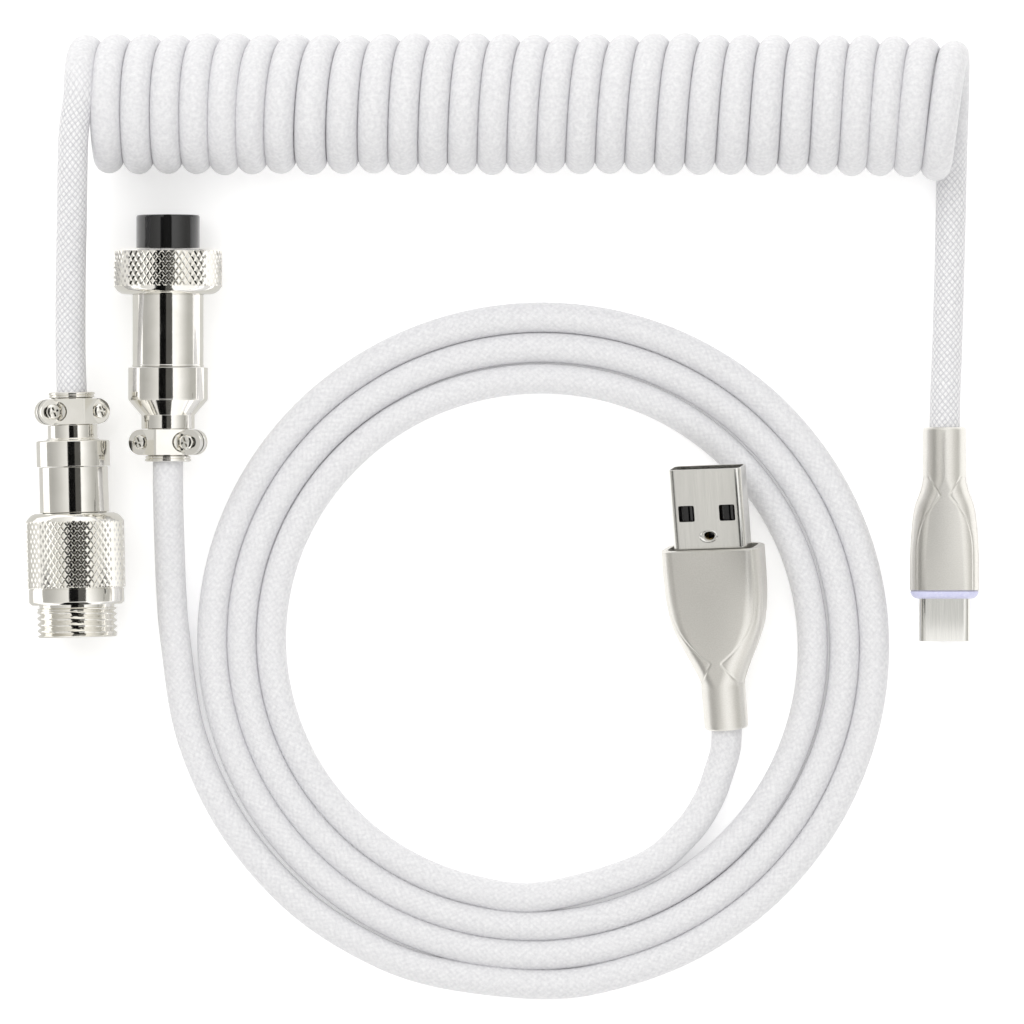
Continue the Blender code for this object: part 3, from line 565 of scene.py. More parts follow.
def thread(first, last, crest, depth=0.55 * MM):
    """Relief of a right-handed thread that starts and runs out gently."""

    def relief(turn, along, radius):
        if along < first or along > last or radius < crest - 0.5 * MM:
            return 0
        phase = (along / THREAD_PITCH - turn) % 1
        valley = max(0, 1 - abs(2 * phase - 1) * 1.25)
        fade = min(1, (along - first) / (0.4 * MM), (last - along) / (0.25 * MM))
        return -depth * valley * fade

    return relief


def settle(piece, body, material_slot, *nodes):
    """A finished piece: the CAD nodes it stands for, if any and the body it moves with."""
    if nodes:
        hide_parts(*nodes)
    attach(piece, body)
    return piece


def whole(points):
    return [(along * MM, radius * MM) for along, radius in points]


def lip_and_waist(neck_radius, neck_start, neck_end):
    """The backshell's rear end: two thin rings, the waist that the clamp sits on, and the neck."""
    return [
        (0.0, 2.5), (0.0, 3.5), (0.12, 3.7), (0.4, 3.7), (0.5, 3.48), (0.6, 3.62), (0.85, 3.62), (0.95, 3.24),
        (neck_start, 3.24), (neck_start, neck_radius), (neck_end, neck_radius),
    ]


def clamp_outline(half_width, arc_points=24):
    """Cross-section of a saddle: two lugs and a roof-shaped arch over the round waist."""
    split = 0.15 * MM
    lug_top = 1.35 * MM
    waist_radius = 3.3 * MM
    outline = [(half_width, split), (half_width, lug_top), (3.75 * MM, lug_top), (3.35 * MM, 2.2 * MM)]
    outline += [(0.2 * MM, 4.75 * MM), (-0.2 * MM, 4.75 * MM)]
    outline += [(-x, z) for x, z in reversed(outline[:-2])]
    for step in range(arc_points + 1):
        angle = math.radians(180 - 2.6 - (180 - 5.2) * step / arc_points)
        outline.append((waist_radius * math.cos(angle), waist_radius * math.sin(angle)))
    return outline


def prism(name, outline, low, high, upright, place, finish=None):
    """A prism of an outline along Y, or along Z when upright."""
    ends = []
    for level in (low, high):
        ends.append([(a, b, level) if upright else (a, level, b) for a, b in outline])
    return skinned(name, ends, finish, place, smooth_angle=0)


def cut(target, cutter, operation="DIFFERENCE"):
    """A Boolean by a cutter that is then gone."""
    modifier = target.modifiers.new(cutter.name, "BOOLEAN")
    modifier.operation = operation
    modifier.solver = "EXACT"
    modifier.object = cutter


def settled_mesh(target, cutters, edge=0.0, segments=2, smooth_angle=35):
    """Rounds the edges, applies the modifiers and removes the cutters."""
    if edge:
        bevel = target.modifiers.new("edges", "BEVEL")
        bevel.width = edge
        bevel.segments = segments
        bevel.limit_method = "ANGLE"
        bevel.angle_limit = math.radians(28)
        bevel.use_clamp_overlap = True
    mesh = evaluated_mesh(target)
    mesh.shade_smooth()
    mesh.set_sharp_from_angle(angle=math.radians(smooth_angle))
    target.modifiers.clear()
    target.data = mesh
    target.modifiers.new("shading", "WEIGHTED_NORMAL").keep_sharp = True
    mesh = evaluated_mesh(target)
    target.modifiers.clear()
    target.data = mesh
    for cutter in cutters:
        bpy.data.objects.remove(cutter)
    return target


def evaluated_mesh(thing):
    """The mesh that a piece's modifiers make."""
    bpy.context.view_layer.update()
    depsgraph = bpy.context.evaluated_depsgraph_get()
    return bpy.data.meshes.new_from_object(thing.evaluated_get(depsgraph))


def circle(centre, radius, sides=48):
    points = []
    for step in range(sides):
        angle = math.tau * step / sides
        points.append((centre[0] + radius * math.cos(angle), centre[1] + radius * math.sin(angle)))
    return points


def clamp_saddle(name, side, half_width, finish, place):
    """One half of the cable clamp; side is 1 for the upper saddle and -1 for the lower one."""
    end = CLAMP_START + CLAMP_LENGTH
    middle = (CLAMP_START + end) / 2
    outline = [(x, side * z) for x, z in clamp_outline(half_width)]
    saddle = prism(name, outline, CLAMP_START, end, False, place, finish)
    round_end = CLAMP_LENGTH / 2 - 0.02 * MM
    rounded = []
    for hand in (1, -1):
        for step in range(25):
            angle = math.radians(-90 + 180 * step / 24) + (math.pi if hand < 0 else 0)
            x = hand * (half_width - round_end) + round_end * math.cos(angle)
            rounded.append((x, middle + round_end * math.sin(angle)))
    cutters = [prism(f"{name}_rounding", rounded, -7 * MM, 7 * MM, True, place)]
    cut(saddle, cutters[0], "INTERSECT")
    for hand in (-1, 1):
        centre = (hand * CLAMP_SCREW_OFFSET, middle)
        hole = prism(f"{name}_hole_{hand}", circle(centre, 0.82 * MM), -6 * MM, 6 * MM, True, place)
        cut(saddle, hole)
        cutters.append(hole)
        if side > 0:
            seat = prism(f"{name}_seat_{hand}", circle(centre, 1.85 * MM), 1.35 * MM, 6 * MM, True, place)
            cut(saddle, seat)
            cutters.append(seat)
    return settled_mesh(saddle, cutters, 0.22 * MM, 3)


def clamp_screw(name, hand, finish, place):
    """A pan-head screw with a cross recess, standing along Z through a lug."""
    middle = CLAMP_START + CLAMP_LENGTH / 2
    centre = (hand * CLAMP_SCREW_OFFSET, middle)
    outline = whole([(-2.05, 0.0), (-2.05, 0.6), (-1.95, 0.7), (1.4, 0.7), (1.4, 1.2), (1.95, 1.2)])
    outline += whole([(2.12, 1.08), (2.22, 0.8), (2.26, 0.4), (2.27, 0.0)])
    rings = []
    for height, radius in outline:
        reach = max(radius, 0.001 * MM)
        rings.append([(x, y, height) for x, y in circle(centre, reach)])
    screw = skinned(name, rings, finish, place)
    cutters = []
    for number, turn in enumerate((20, 110)):
        across = Vector((math.cos(math.radians(turn)), math.sin(math.radians(turn))))
        aside = Vector((-across.y, across.x))
        slot = []
        for a, b in ((1, 1), (-1, 1), (-1, -1), (1, -1)):
            corner = Vector(centre) + across * 0.78 * MM * a + aside * 0.17 * MM * b
            slot.append(tuple(corner))
        cutter = prism(f"{name}_recess_{number}", slot, 1.75 * MM, 3 * MM, True, place)
        cut(screw, cutter)
        cutters.append(cutter)
    return settled_mesh(screw, cutters, 0.03 * MM, 1)


def cable_clamp(prefix, half_width, looks, place, body):
    """Two saddles and two screws that grip the cable, tilted about the connector's axis."""
    tilted = place @ Matrix.Rotation(math.radians(-CLAMP_TILT), 4, "Y")
    nickel = looks["nickel_plated_brass"]
    for side, word in ((1, "upper"), (-1, "lower")):
        saddle = clamp_saddle(f"{prefix}_saddle_{word}_visual", side, half_width, nickel, tilted)
        settle(saddle, body, "nickel_plated_brass", f"{prefix}_saddle_{word}")
    for hand, word in ((-1, "left"), (1, "right")):
        screw = clamp_screw(f"{prefix}_screw_{word}_visual", hand, nickel, tilted)
        settle(screw, body, "nickel_plated_brass", f"{prefix}_screw_{word}")


def pin_places(radius, count=4):
    for number in range(count):
        angle = math.radians(45 + 360 / count * number)
        yield number + 1, (radius * math.cos(angle), radius * math.sin(angle))


def build_receptacle(looks):
    """The coil half's inline connector: clamp, backshell, barrel and knurled grip with its thread."""
    place = connector_matrix(RECEPTACLE_PLACE)
    nickel = looks["nickel_plated_brass"]
    rear = lip_and_waist(3.95, 5.25, 7.35)
    rear += [(7.5, 4.25), (7.62, 4.25), (7.7, 5.6), (7.85, 5.85), (11.85, 5.85), (11.85, 5.15)]
    rear += [(7.9, 5.15), (7.9, 2.5)]
    backshell = turned("receptacle_backshell_visual", eased(whole(rear), 0.09 * MM, True), nickel, place, 128)
    settle(backshell, "coil_half", "nickel_plated_brass", "receptacle_backshell")
    middle = [(11.95, 4.4), (11.95, 5.5), (19.2, 5.5), (19.2, 5.1), (23.9, 5.1), (23.9, 4.4)]
    barrel = turned("receptacle_barrel_visual", eased(whole(middle), 0.12 * MM, True), nickel, place, 128)
    settle(barrel, "coil_half", "nickel_plated_brass", "receptacle_barrel")
    settle(receptacle_body(nickel, place), "coil_half", "nickel_plated_brass", "receptacle_body")
    gold = looks["gold_plated_contact"]
    tip = whole([(24.3, 0.001), (24.3, 0.5), (37.2, 0.5), (37.5, 0.36), (37.6, 0.001)])
    for number, centre in pin_places(PIN_CIRCLE):
        pin = turned(f"receptacle_pin_{number}_visual", tip, gold, place, 24, centre, closed=False)
        settle(pin, "coil_half", "gold_plated_contact", f"receptacle_pin_{number}")
    cable_clamp("receptacle", 6.0 * MM, looks, place, "coil_half")


def receptacle_body(nickel, place):
    """The knurled grip, its smooth collar and the outside thread, with the bore."""
    diamonds = 46
    band = (20.6 * MM, 31.2 * MM)
    threaded = (34.5 * MM, 38.9 * MM)
    crest = 6.35 * MM
    dome = eased(whole([(19.3, 6.3), (19.5, 6.9), (19.9, 7.35), (20.3, 7.65)]), 0.1 * MM)
    collar = [(31.25, 7.45), (31.4, 7.45), (31.45, 7.6), (33.4, 7.6), (33.55, 7.55), (33.9, 7.15)]
    collar += [(33.92, 6.0), (34.35, 5.95)]
    bore = [(39.1, 6.05), (39.1, 5.45), (39.0, 5.3), (32.2, 5.3), (32.2, 5.62), (27.2, 5.62)]
    bore += [(27.2, 5.15), (19.3, 5.15)]
    outline = dome + knurl_band(*band, 7.85 * MM) + whole(collar)
    outline += spread(*threaded, crest, THREAD_PITCH / 12) + whole(bore)
    knurled = knurl(diamonds, *band)
    winding = thread(*threaded, crest)

    def relief(turn, along, radius):
        return knurled(turn, along, radius) + winding(turn, along, radius)

    sides = diamonds * KNURL_CELL
    return turned(
        "receptacle_body_visual", outline, nickel, place, sides, relief=relief, crossed_from=len(dome)
    )


def build_plug(looks):
    """The host half's inline connector: clamp, cone, barrel, coupling nut and socket insert."""
    place = connector_matrix(PLUG_PLACE)
    nickel = looks["nickel_plated_brass"]
    rear = lip_and_waist(4.25, 5.25, 7.4)
    rear += [(9.8, 6.3), (9.9, 6.3), (9.98, 6.35), (15.0, 6.35), (15.0, 5.15), (8.9, 5.15), (7.2, 3.4)]
    rear += [(7.2, 2.5)]
    backshell = turned("plug_backshell_visual", eased(whole(rear), 0.09 * MM, True), nickel, place, 128)
    settle(backshell, "host_half", "nickel_plated_brass", "plug_backshell")
    middle = [(15.1, 4.6), (15.1, 5.72), (15.35, 5.72), (15.45, 5.66), (28.4, 5.66), (28.4, 5.4)]
    middle += [(30.2, 5.4), (30.2, 5.2), (23.9, 5.2), (23.9, 4.6)]
    barrel = turned("plug_barrel_visual", eased(whole(middle), 0.08 * MM, True), nickel, place, 128)
    settle(barrel, "host_half", "nickel_plated_brass", "plug_barrel")
    settle(coupling_nut(nickel, place), "coupling_nut", "nickel_plated_brass", "coupling_nut")
    settle(plug_insert(looks["black_insulator"], place), "host_half", "black_insulator", "plug_insert")
    cable_clamp("plug", 6.35 * MM, looks, place, "host_half")


def coupling_nut(nickel, place):
    """The nut: a rounded rear shoulder, the knurled band and a bore with its thread."""
    diamonds = 51
    band = (28.0 * MM, 33.6 * MM)
    shoulder = [(26.7, 5.82), (26.7, 6.9), (26.8, 7.4), (27.0, 7.75), (27.3, 8.15), (27.65, 8.4)]
    mouth = [(33.8, 8.42), (33.95, 8.2), (34.0, 8.0), (34.0, 6.7), (33.8, 6.5), (28.3, 6.5), (28.3, 5.82)]
    outline = whole(shoulder) + knurl_band(*band, 8.65 * MM) + whole(mouth)
    knurled = knurl(diamonds, *band)
    sides = diamonds * KNURL_CELL
    return turned(
        "coupling_nut_visual", outline, nickel, place, sides, relief=knurled, crossed_from=len(shoulder)
    )


def plug_insert(insulator, place):
    """The black socket insert, with its four contact holes and its keyway."""
    outline = eased(whole([(26.0, 0.001), (26.0, 5.1), (39.38, 5.1), (39.38, 0.001)]), 0.45 * MM)
    insert = turned("plug_insert_visual", outline, insulator, place, 96, closed=False)
    cutters = []
    for number, (x, z) in pin_places(PIN_CIRCLE):
        hole = prism(f"socket_hole_{number}", circle((x, z), 0.8 * MM, 24), 30 * MM, 40 * MM, False, place)
        cutters.append(hole)
    keyway = [(-0.6 * MM, 4.4 * MM), (0.6 * MM, 4.4 * MM), (0.6 * MM, 6 * MM), (-0.6 * MM, 6 * MM)]
    cutters.append(prism("keyway", keyway, 33 * MM, 40 * MM, False, place))
    for cutter in cutters:
        cut(insert, cutter)
    return settled_mesh(insert, cutters)


def rounded_section(half_width, half_height, corner, count):
    """Evenly spaced (x, z, outward x, outward z) round a rounded rectangle, from its right side up."""
    flat_x = max(0.0, half_width - corner)
    flat_z = max(0.0, half_height - corner)
    arc = corner * math.pi / 2
    pieces = [("side", flat_z, 0), ("arc", arc, 0), ("flat", 2 * flat_x, 90), ("arc", arc, 90)]
    pieces += [("flat", 2 * flat_z, 180), ("arc", arc, 180), ("flat", 2 * flat_x, 270), ("arc", arc, 270)]
    pieces.append(("last", flat_z, 0))
    centres = {0: (flat_x, flat_z), 90: (-flat_x, flat_z), 180: (-flat_x, -flat_z), 270: (flat_x, -flat_z)}
    total = sum(length for _, length, _ in pieces)
    found = []
    for step in range(count):
        left = total * step / count
        for kind, length, heading in pieces:
            if left < length or kind == "last":
                break
            left -= length
        angle = math.radians(heading)
        if kind == "arc":
            angle += left / corner
            x = centres[heading][0] + corner * math.cos(angle)
            z = centres[heading][1] + corner * math.sin(angle)
        elif kind == "flat":
            along = left - length / 2
            reach = half_height if heading in (90, 270) else half_width
            x = reach * math.cos(angle) - along * math.sin(angle)
            z = reach * math.sin(angle) + along * math.cos(angle)
        else:
            x = half_width
            z = left if kind == "side" else left - flat_z
        found.append((x, z, math.cos(angle), math.sin(angle)))
    return found


def smooth_stations(stations, step):
    """Rows close together on the smooth curves through the given rows, whose first value is along."""
    slopes = []
    for i in range(len(stations)):
        before = stations[max(0, i - 1)]
        after = stations[min(len(stations) - 1, i + 1)]
        slopes.append([(b - a) / (after[0] - before[0]) for a, b in zip(before, after)])
    found = []
    for i in range(len(stations) - 1):
        first, second = stations[i], stations[i + 1]
        run = second[0] - first[0]
        count = max(1, math.ceil(run / step))
        for k in range(count):
            t = k / count
            row = []
            for a, b, m, n in zip(first, second, slopes[i], slopes[i + 1]):
                value = a * (2 * t**3 - 3 * t**2 + 1) + b * (3 * t**2 - 2 * t**3)
                value += run * (m * (t**3 - 2 * t**2 + t) + n * (t**3 - t**2))
                row.append(value)
            found.append(row)
    return found + [list(stations[-1])]


def leaf_relief(line, groove=0.13 * MM, step_down=0.08 * MM):
    """How far the skin sinks at (x, along): a fine groove on the leaf's line, and the flank beyond it."""
    curve = [tuple(point) for point in smooth_route([(x, along, 0) for x, along in line[1:]], 0.5 * MM)]
    segments = [(line[0], line[1])] + [((a[0], a[1]), (b[0], b[1])) for a, b in zip(curve, curve[1:])]

    def sink(x, along):
        x = abs(x)
        nearest = 1.0
        edge = None
        for (ax, ay), (bx, by) in segments:
            if along < ay - MM or along > by + MM:
                continue
            run = (bx - ax) ** 2 + (by - ay) ** 2
            t = min(1, max(0, ((x - ax) * (bx - ax) + (along - ay) * (by - ay)) / run))
            nearest = min(nearest, math.hypot(x - ax - t * (bx - ax), along - ay - t * (by - ay)))
            if ay <= along <= by:
                edge = ax + (bx - ax) * (along - ay) / (by - ay)
        sunk = groove * math.exp(-((nearest / (0.11 * MM)) ** 2))
        if edge is not None and x > edge:
            sunk += step_down * min(1, nearest / (0.12 * MM))
        return sunk

    return sink


def moulded_housing(name, stations, pocket, leaf, finish, place, around):
    """A plug's grip: a gently crowned skin with the leaf lines, the cable's bore and the mouth's pocket."""
    crown = 0.5 * MM
    bore_radius = 2.5 * MM
    pocket_depth = 3.0 * MM
    end = stations[-1][0]
    rows = smooth_stations([[value * MM for value in row] for row in stations], 0.17 * MM)
    sink = leaf_relief([(x * MM, along * MM) for x, along in leaf])
    round_over = 0.22 * MM
    rings = []
    for depth in (3.0 * MM, 0.0):
        ring = rounded_section(bore_radius, bore_radius, bore_radius, around)
        rings.append([(x, depth, z) for x, z, _, _ in ring])
    for along, half_width, half_height, corner in rows:
        left = end * MM - along
        pull = round_over * (1 - math.sqrt(1 - (1 - left / round_over) ** 2)) if left < round_over else 0
        ring = []
        for x, z, out_x, out_z in rounded_section(half_width, half_height, corner, around):
            fall = crown * (x / half_width) ** 2 * (half_width - half_height) / half_width
            drop = pull + fall * abs(out_z) + (sink(x, along) if abs(out_z) > 0.05 else 0)
            ring.append((x - out_x * drop, along, z - out_z * drop))
        rings.append(ring)
    for depth in (end * MM, end * MM - pocket_depth):
        ring = rounded_section(*[value * MM for value in pocket], around)
        rings.append([(x, depth, z) for x, z, _, _ in ring])
    return skinned(name, rings, finish, place, smooth_angle=45)


def shell_tube(name, section, wall, start, end, finish, place, around=120):
    """A drawn metal shell, open at both ends, with an eased rim."""
    rim = 0.06 * MM
    rings = []
    outer = ((0, start), (0, end - 2 * rim), (rim * 0.3, end - rim), (rim, end))
    for inset, along in outer + ((wall - rim / 2, end), (wall, end - rim), (wall, start)):
        half_width, half_height, corner = [value - inset for value in section]
        ring = rounded_section(half_width, half_height, max(corner, 0.1 * MM), around)
        rings.append([(x, along, z) for x, z, _, _ in ring])
    return skinned(name, rings, finish, place, closed=True, smooth_angle=40)


def build_usb_c(looks):
    """The coil half's USB-C plug."""
    place = connector_matrix(USB_C_PLACE)
    stations = [(0, 3.2, 3.2, 3.2), (0.3, 3.4, 3.4, 3.4), (4, 3.42, 3.42, 3.42), (8.1, 3.42, 3.42, 3.4)]
    stations += [(10, 3.8, 3.3, 3.1), (12.6, 4.72, 3.25, 2.9), (15.5, 5.17, 3.2, 2.8), (19.5, 5.44, 3.2, 2.7)]
    stations += [(23, 5.5, 3.2, 2.62), (26.2, 5.5, 3.2, 2.6)]
    leaf = [(2.6, 8.0), (0.74, 10.88), (2.55, 13.14), (3.85, 15.5), (4.52, 18.2), (4.65, 20.8), (4.65, 26.2)]
    zinc = looks["satin_plated_zinc"]
    housing = moulded_housing("usb_c_housing_visual", stations, (4.7, 2.2, 2.0), leaf, zinc, place, 260)
    settle(housing, "coil_half", "satin_plated_zinc", "usb_c_housing")
    bezel = usb_c_bezel(looks["translucent_bezel"], place)
    settle(bezel, "coil_half", "translucent_bezel", "usb_c_bezel_ring")
    size = (4.125 * MM, 1.2 * MM, 1.18 * MM)
    steel = looks["nickel_plated_steel"]
    shell = shell_tube("usb_c_shell_visual", size, 0.25 * MM, 22 * MM, 34.2 * MM, steel, place)
    settle(shell, "coil_half", "nickel_plated_steel", "usb_c_shell")


def usb_c_bezel(finish, place):
    """The soft ring round the shell's root, rounded off towards the shell."""
    outside = ((26.2, 0), (26.28, -0.12), (26.5, -0.06), (26.9, 0.14), (27.2, 0.45), (27.35, 0.9))
    sections = [(along, (5.36 - inset, 3.06 - inset, 2.5 - inset)) for along, inset in outside]
    sections += [(along, (4.14, 1.22, 1.2)) for along in (27.4, 26.2)]
    rings = []
    for along, section in sections:
        ring = rounded_section(*[value * MM for value in section], 120)
        rings.append([(x, along * MM, z) for x, z, _, _ in ring])
    return skinned("usb_c_bezel_visual", rings, finish, place, closed=True)


def build_usb_a(looks):
    """The host half's USB-A plug, whose shell has two windows and an oval dimple."""
    place = connector_matrix(USB_A_PLACE)
    stations = [(0, 3.3, 3.3, 3.3), (0.3, 3.48, 3.48, 3.48), (4, 3.5, 3.5, 3.5), (7.0, 3.5, 3.5, 3.5)]
    stations += [(8.6, 4.0, 3.52, 3.4), (10.4, 4.75, 3.6, 3.3), (13.7, 6.25, 3.75, 3.0)]
    stations += [(16.9, 7.4, 3.85, 2.8), (20.5, 7.95, 3.9, 2.6), (24, 8.1, 3.9, 2.4), (29.3, 8.1, 3.9, 2.2)]
    leaf = [(3.3, 7.3), (0.87, 10.9), (3.3, 13.0), (5.6, 15.7), (7.05, 19.1), (7.45, 23.75), (7.4, 29.3)]
    zinc = looks["satin_plated_zinc"]
    housing = moulded_housing("usb_a_housing_visual", stations, (7.1, 2.95, 1.6), leaf, zinc, place, 320)
    settle(housing, "host_half", "satin_plated_zinc", "usb_a_housing")
    steel = looks["nickel_plated_steel"]
    settle(usb_a_shell(steel, place), "host_half", "nickel_plated_steel", "usb_a_shell")
    settle(usb_a_dimple(steel, place), "host_half", "nickel_plated_steel")
    for hand, number in ((-1, 1), (1, 2)):
        floor = window_floor(number, hand, looks["black_insulator"], place)
        settle(floor, "host_half", "black_insulator")


def usb_a_shell(steel, place):
    """The shell, with two square windows right through and the dimple's oval hole on top."""
    size = (6.0 * MM, 2.25 * MM, 0.9 * MM)
    shell = shell_tube("usb_a_shell_visual", size, 0.3 * MM, 23 * MM, 42.2 * MM, steel, place)
    cutters = []
    for hand in (-1, 1):
        for side in (-1, 1):
            window = []
            for x, along, _, _ in rounded_section(1.3 * MM, 1.3 * MM, 0.2 * MM, 32):
                window.append((x + hand * WINDOW_OFFSET, along + WINDOW_MIDDLE))
            low, high = sorted((side * 1 * MM, side * 4 * MM))
            cutters.append(prism(f"window_{hand}_{side}", window, low, high, True, place))
    oval = [(1.32 * x, DIMPLE_MIDDLE + 0.86 * along) for x, along in circle((0, 0), 1.0 * MM)]
    cutters.append(prism("dimple_hole", oval, 1 * MM, 4 * MM, True, place))
    for cutter in cutters:
        cut(shell, cutter)
    return settled_mesh(shell, cutters, 0.07 * MM, 2)


def usb_a_dimple(steel, place):
    """The dimple's rolled rim, sloping in to a small hole."""
    rings = []
    for radius, height in ((1.3, 1.6), (1.3, 2.3), (1.18, 2.38), (1.0, 2.28), (0.75, 1.95), (0.58, 1.6)):
        oval = circle((0, 0), radius * MM)
        rings.append([(1.18 * x, DIMPLE_MIDDLE + 0.8 * y, height * MM) for x, y in oval])
    return skinned("usb_a_dimple", rings, steel, place, closed=True)


def window_floor(number, hand, insulator, place):
    """The dark insulator seen through a window: a ledge with a groove and a low rib."""
    rises = [(-1.28, 0.9), (-1.28, 1.45), (0.2, 1.8), (0.35, 1.25), (0.6, 1.25), (0.65, 1.7)]
    rises += [(0.85, 1.7), (0.9, 1.2), (1.28, 1.2), (1.28, 0.9)]
    outline = [(hand * WINDOW_OFFSET + x * MM, z * MM) for x, z in rises]
    low, high = WINDOW_MIDDLE - 1.5 * MM, WINDOW_MIDDLE + 1.5 * MM
    return prism(f"usb_a_window_floor_{number}", outline, low, high, False, place, insulator)


def build_cords(sleeve):
    """Both halves' braided cord. The coil half's braid is stretched open near its two connectors."""
    coil_route = coil_half_route()
    coil_length = length_of(coil_route)
    usb_c_lead = 41 * MM
    receptacle_lead = 48 * MM
    fade = 9 * MM
    usb_c_run = 53.5 * MM
    receptacle_run = 50.5 * MM

    def open_at_ends(gone):
        past = min(gone - usb_c_lead, coil_length - gone - receptacle_lead)
        return 1 - within(past / fade)

    def half_width(gone):
        wound = (gone - usb_c_run) / (coil_length - usb_c_run - receptacle_run)
        return winding_half_width(wound * (WINDING_TURNS + 0.5))

    coil_cord = cord_mesh("coil_half_cord", coil_route, sleeve, open_at_ends, half_width)
    coil_nodes = ("coil_lead_usb_c", "coil_winding", "coil_lead_receptacle")
    settle(coil_cord, "coil_half", "braided_sleeve", *coil_nodes)
    host_route = host_half_route()
    host_cord = cord_mesh("host_half_cord", host_route, sleeve, lambda gone: 0.15, lambda gone: CORD_RADIUS)
    settle(host_cord, "host_half", "braided_sleeve", "host_lead", "host_ring", "host_tail")


def studio_sheet(name, corners, finish):
    """A flat four-cornered piece of the studio, with its corners in millimetres."""
    mesh = bpy.data.meshes.new(name)
    mesh.from_pydata([Vector(corner) * MM for corner in corners], [], [(0, 1, 2, 3)])
    mesh.materials.append(finish)
    sheet = in_scene(name, mesh)
    return sheet


def build_table():
    half = 3000
    corners = [(-half, -half, 0), (half, -half, 0), (half, half, 0), (-half, half, 0)]
    studio_sheet("floor", corners, pale_floor()).location.z = -0.05 * MM


def build_walls():
    """Pale walls all round, brightest ahead and greyer at the left and the right."""
    world = bpy.data.worlds.new("studio")
    bpy.context.scene.world = world
    world.use_nodes = True
    tree = world.node_tree
    direction = node(tree, "ShaderNodeTexCoord").outputs["Generated"]
    across = node(tree, "ShaderNodeSeparateXYZ", i0=direction)
    factor = node(tree, "ShaderNodeMath", {"operation": "MULTIPLY_ADD"}, i0=across, i1=0.5, i2=0.5)
    stops = [(0.02, "A4A3A0"), (0.22, "CAC9C6"), (0.44, "E4E3E1")]
    stops += [(0.58, "FFFFFF"), (0.78, "EDECEA"), (0.97, "A9A8A4")]
    colour = node(tree, "ShaderNodeValToRGB", stops=stops, i0=factor)
    tree.links.new(colour.outputs[0], tree.nodes["Background"].inputs["Color"])
    tree.nodes["Background"].inputs["Strength"].default_value = 1.3


def build_lamp():
    """One wide soft light, high up at the back left, that leaves no highlight of its own."""
    lamp = bpy.data.lights.new("overhead", "AREA")
    lamp.shape = "RECTANGLE"
    lamp.size = 0.9
    lamp.size_y = 0.9
    lamp.energy = 4.5
    light = in_scene("overhead", lamp)
    light.location = (-0.5, 0.45, 0.9)
    light.rotation_mode = "QUATERNION"
    light.rotation_quaternion = Vector(light.location).to_track_quat("Z", "Y")
    light.visible_glossy = False


def build_cards():
    """The cards that the bright metal reflects: each one's shade, its x range, and (y, z) of its two edges.

    Black and grey above and beyond the inline connectors draw their dark stripe. A pale one on the
    table keeps their sides off white, and small ones shade the faces of the two plugs."""
    cards = [
        ("black_card", "050505", (-92, -60), (-55, 90), (60, 90)),
        ("grey_card", "5A5956", (-60, -32), (-55, 90), (60, 90)),
        ("black_end_card", "050505", (-99, -61), (-100, 1), (-100, 80)),
        ("grey_end_card", "5A5956", (-61, -38), (-100, 1), (-100, 80)),
        ("pale_table_card", "DAD9D5", (-88, -34), (-45, -0.02), (34, -0.02)),
        ("usb_a_housing_card", "202020", (14, 18.5), (-50, 40), (-27, 40)),
        ("usb_a_shell_card", "050505", (24, 39.5), (-26, 40), (-8, 40)),
        ("usb_c_housing_card", "101010", (63, 71.5), (-15, 40), (10, 40)),
        ("usb_c_shell_card", "DCDCDA", (61, 84), (-34, 40), (-16, 40)),
        ("usb_c_edge_card", "050505", (44, 60), (-30, 40), (-17, 40)),
    ]
    for name, shade, (low_x, high_x), near, far in cards:
        corners = [(low_x, *near), (high_x, *near), (high_x, *far), (low_x, *far)]
        card = studio_sheet(name, corners, glowing_reflection_card(name, shade))
        # Each card is hidden from the camera, the light and the shadows, so it only paints a reflection into
        # the metal.
        card.visible_camera = False
        card.visible_diffuse = False
        card.visible_shadow = False


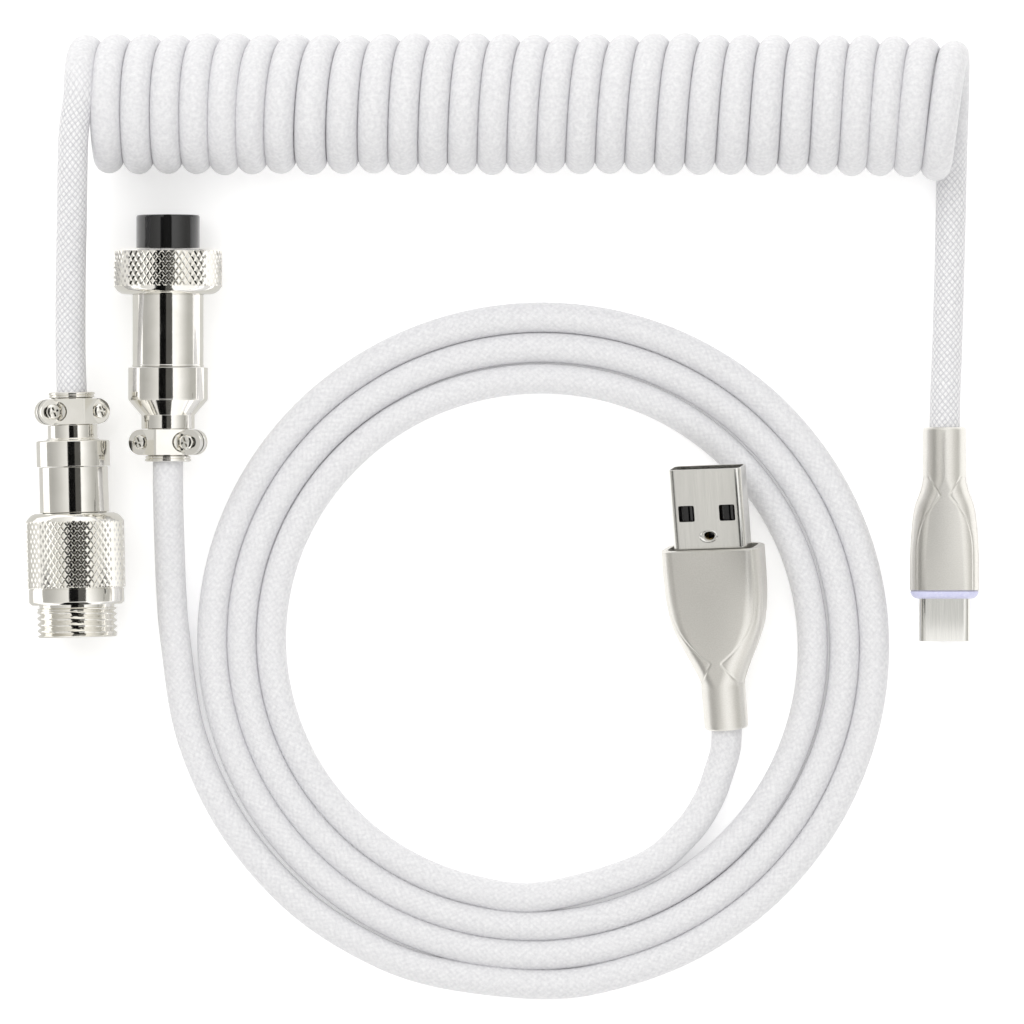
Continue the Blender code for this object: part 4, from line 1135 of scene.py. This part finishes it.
def build_camera():
    camera_data = bpy.data.cameras.new("camera")
    camera_data.lens = LENS
    camera_data.sensor_width = SENSOR
    camera = in_scene("camera", camera_data)
    camera.location = (*VIEW_CENTRE, VIEW_WIDTH * LENS / SENSOR)
    camera_data.clip_start = 0.5
    camera_data.clip_end = 20
    bpy.context.scene.camera = camera


def looks_by_slot():
    """Each material slot's finish."""
    return {
        "nickel_plated_brass": plated_nickel(),
        "nickel_plated_steel": drawn_steel(),
        "satin_plated_zinc": pearl_zinc(),
        "gold_plated_contact": gold_flash(),
        "black_insulator": moulded("black glossy insulator", "0B0B0C", "141415", 0.16, coat=0.6),
        "inner_mould": moulded("grey inner mould", "55555A", "626268", 0.5),
        "translucent_bezel": moulded("lavender bezel", "C8C9E9", "D6D7F0", 0.3),
        "circuit_board": moulded("green solder mask", "124A24", "1C6434", 0.35),
        "rubber_bush": moulded("black rubber", "1B1B1C", "262627", 0.7),
        "cable_core": moulded("cable jacket", "C9C9C8", "D8D8D7", 0.55),
        "braided_sleeve": braided_sleeve(),
    }


def dress_frame(frame, looks):
    """Puts each slot's finish on the CAD model's own nodes."""
    for entry in frame["record"]["subparts"]:
        mesh = frame["nodes"][entry["node"]].data
        mesh.materials.clear()
        mesh.materials.append(looks[entry["material_slot"]])


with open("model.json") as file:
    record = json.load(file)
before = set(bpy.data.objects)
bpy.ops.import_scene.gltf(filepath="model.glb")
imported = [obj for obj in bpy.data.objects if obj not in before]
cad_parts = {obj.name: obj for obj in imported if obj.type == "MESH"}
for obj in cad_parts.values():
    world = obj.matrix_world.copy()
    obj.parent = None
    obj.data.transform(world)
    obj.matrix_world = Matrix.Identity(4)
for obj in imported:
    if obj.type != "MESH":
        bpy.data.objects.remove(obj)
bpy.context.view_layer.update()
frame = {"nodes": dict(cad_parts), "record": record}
bpy.context.scene.view_settings.view_transform = "Standard"
build_camera()
build_table()
build_walls()
build_lamp()
build_cards()
looks = looks_by_slot()
dress_frame(frame, looks)
build_cords(looks["braided_sleeve"])
build_receptacle(looks)
build_plug(looks)
build_usb_c(looks)
build_usb_a(looks)
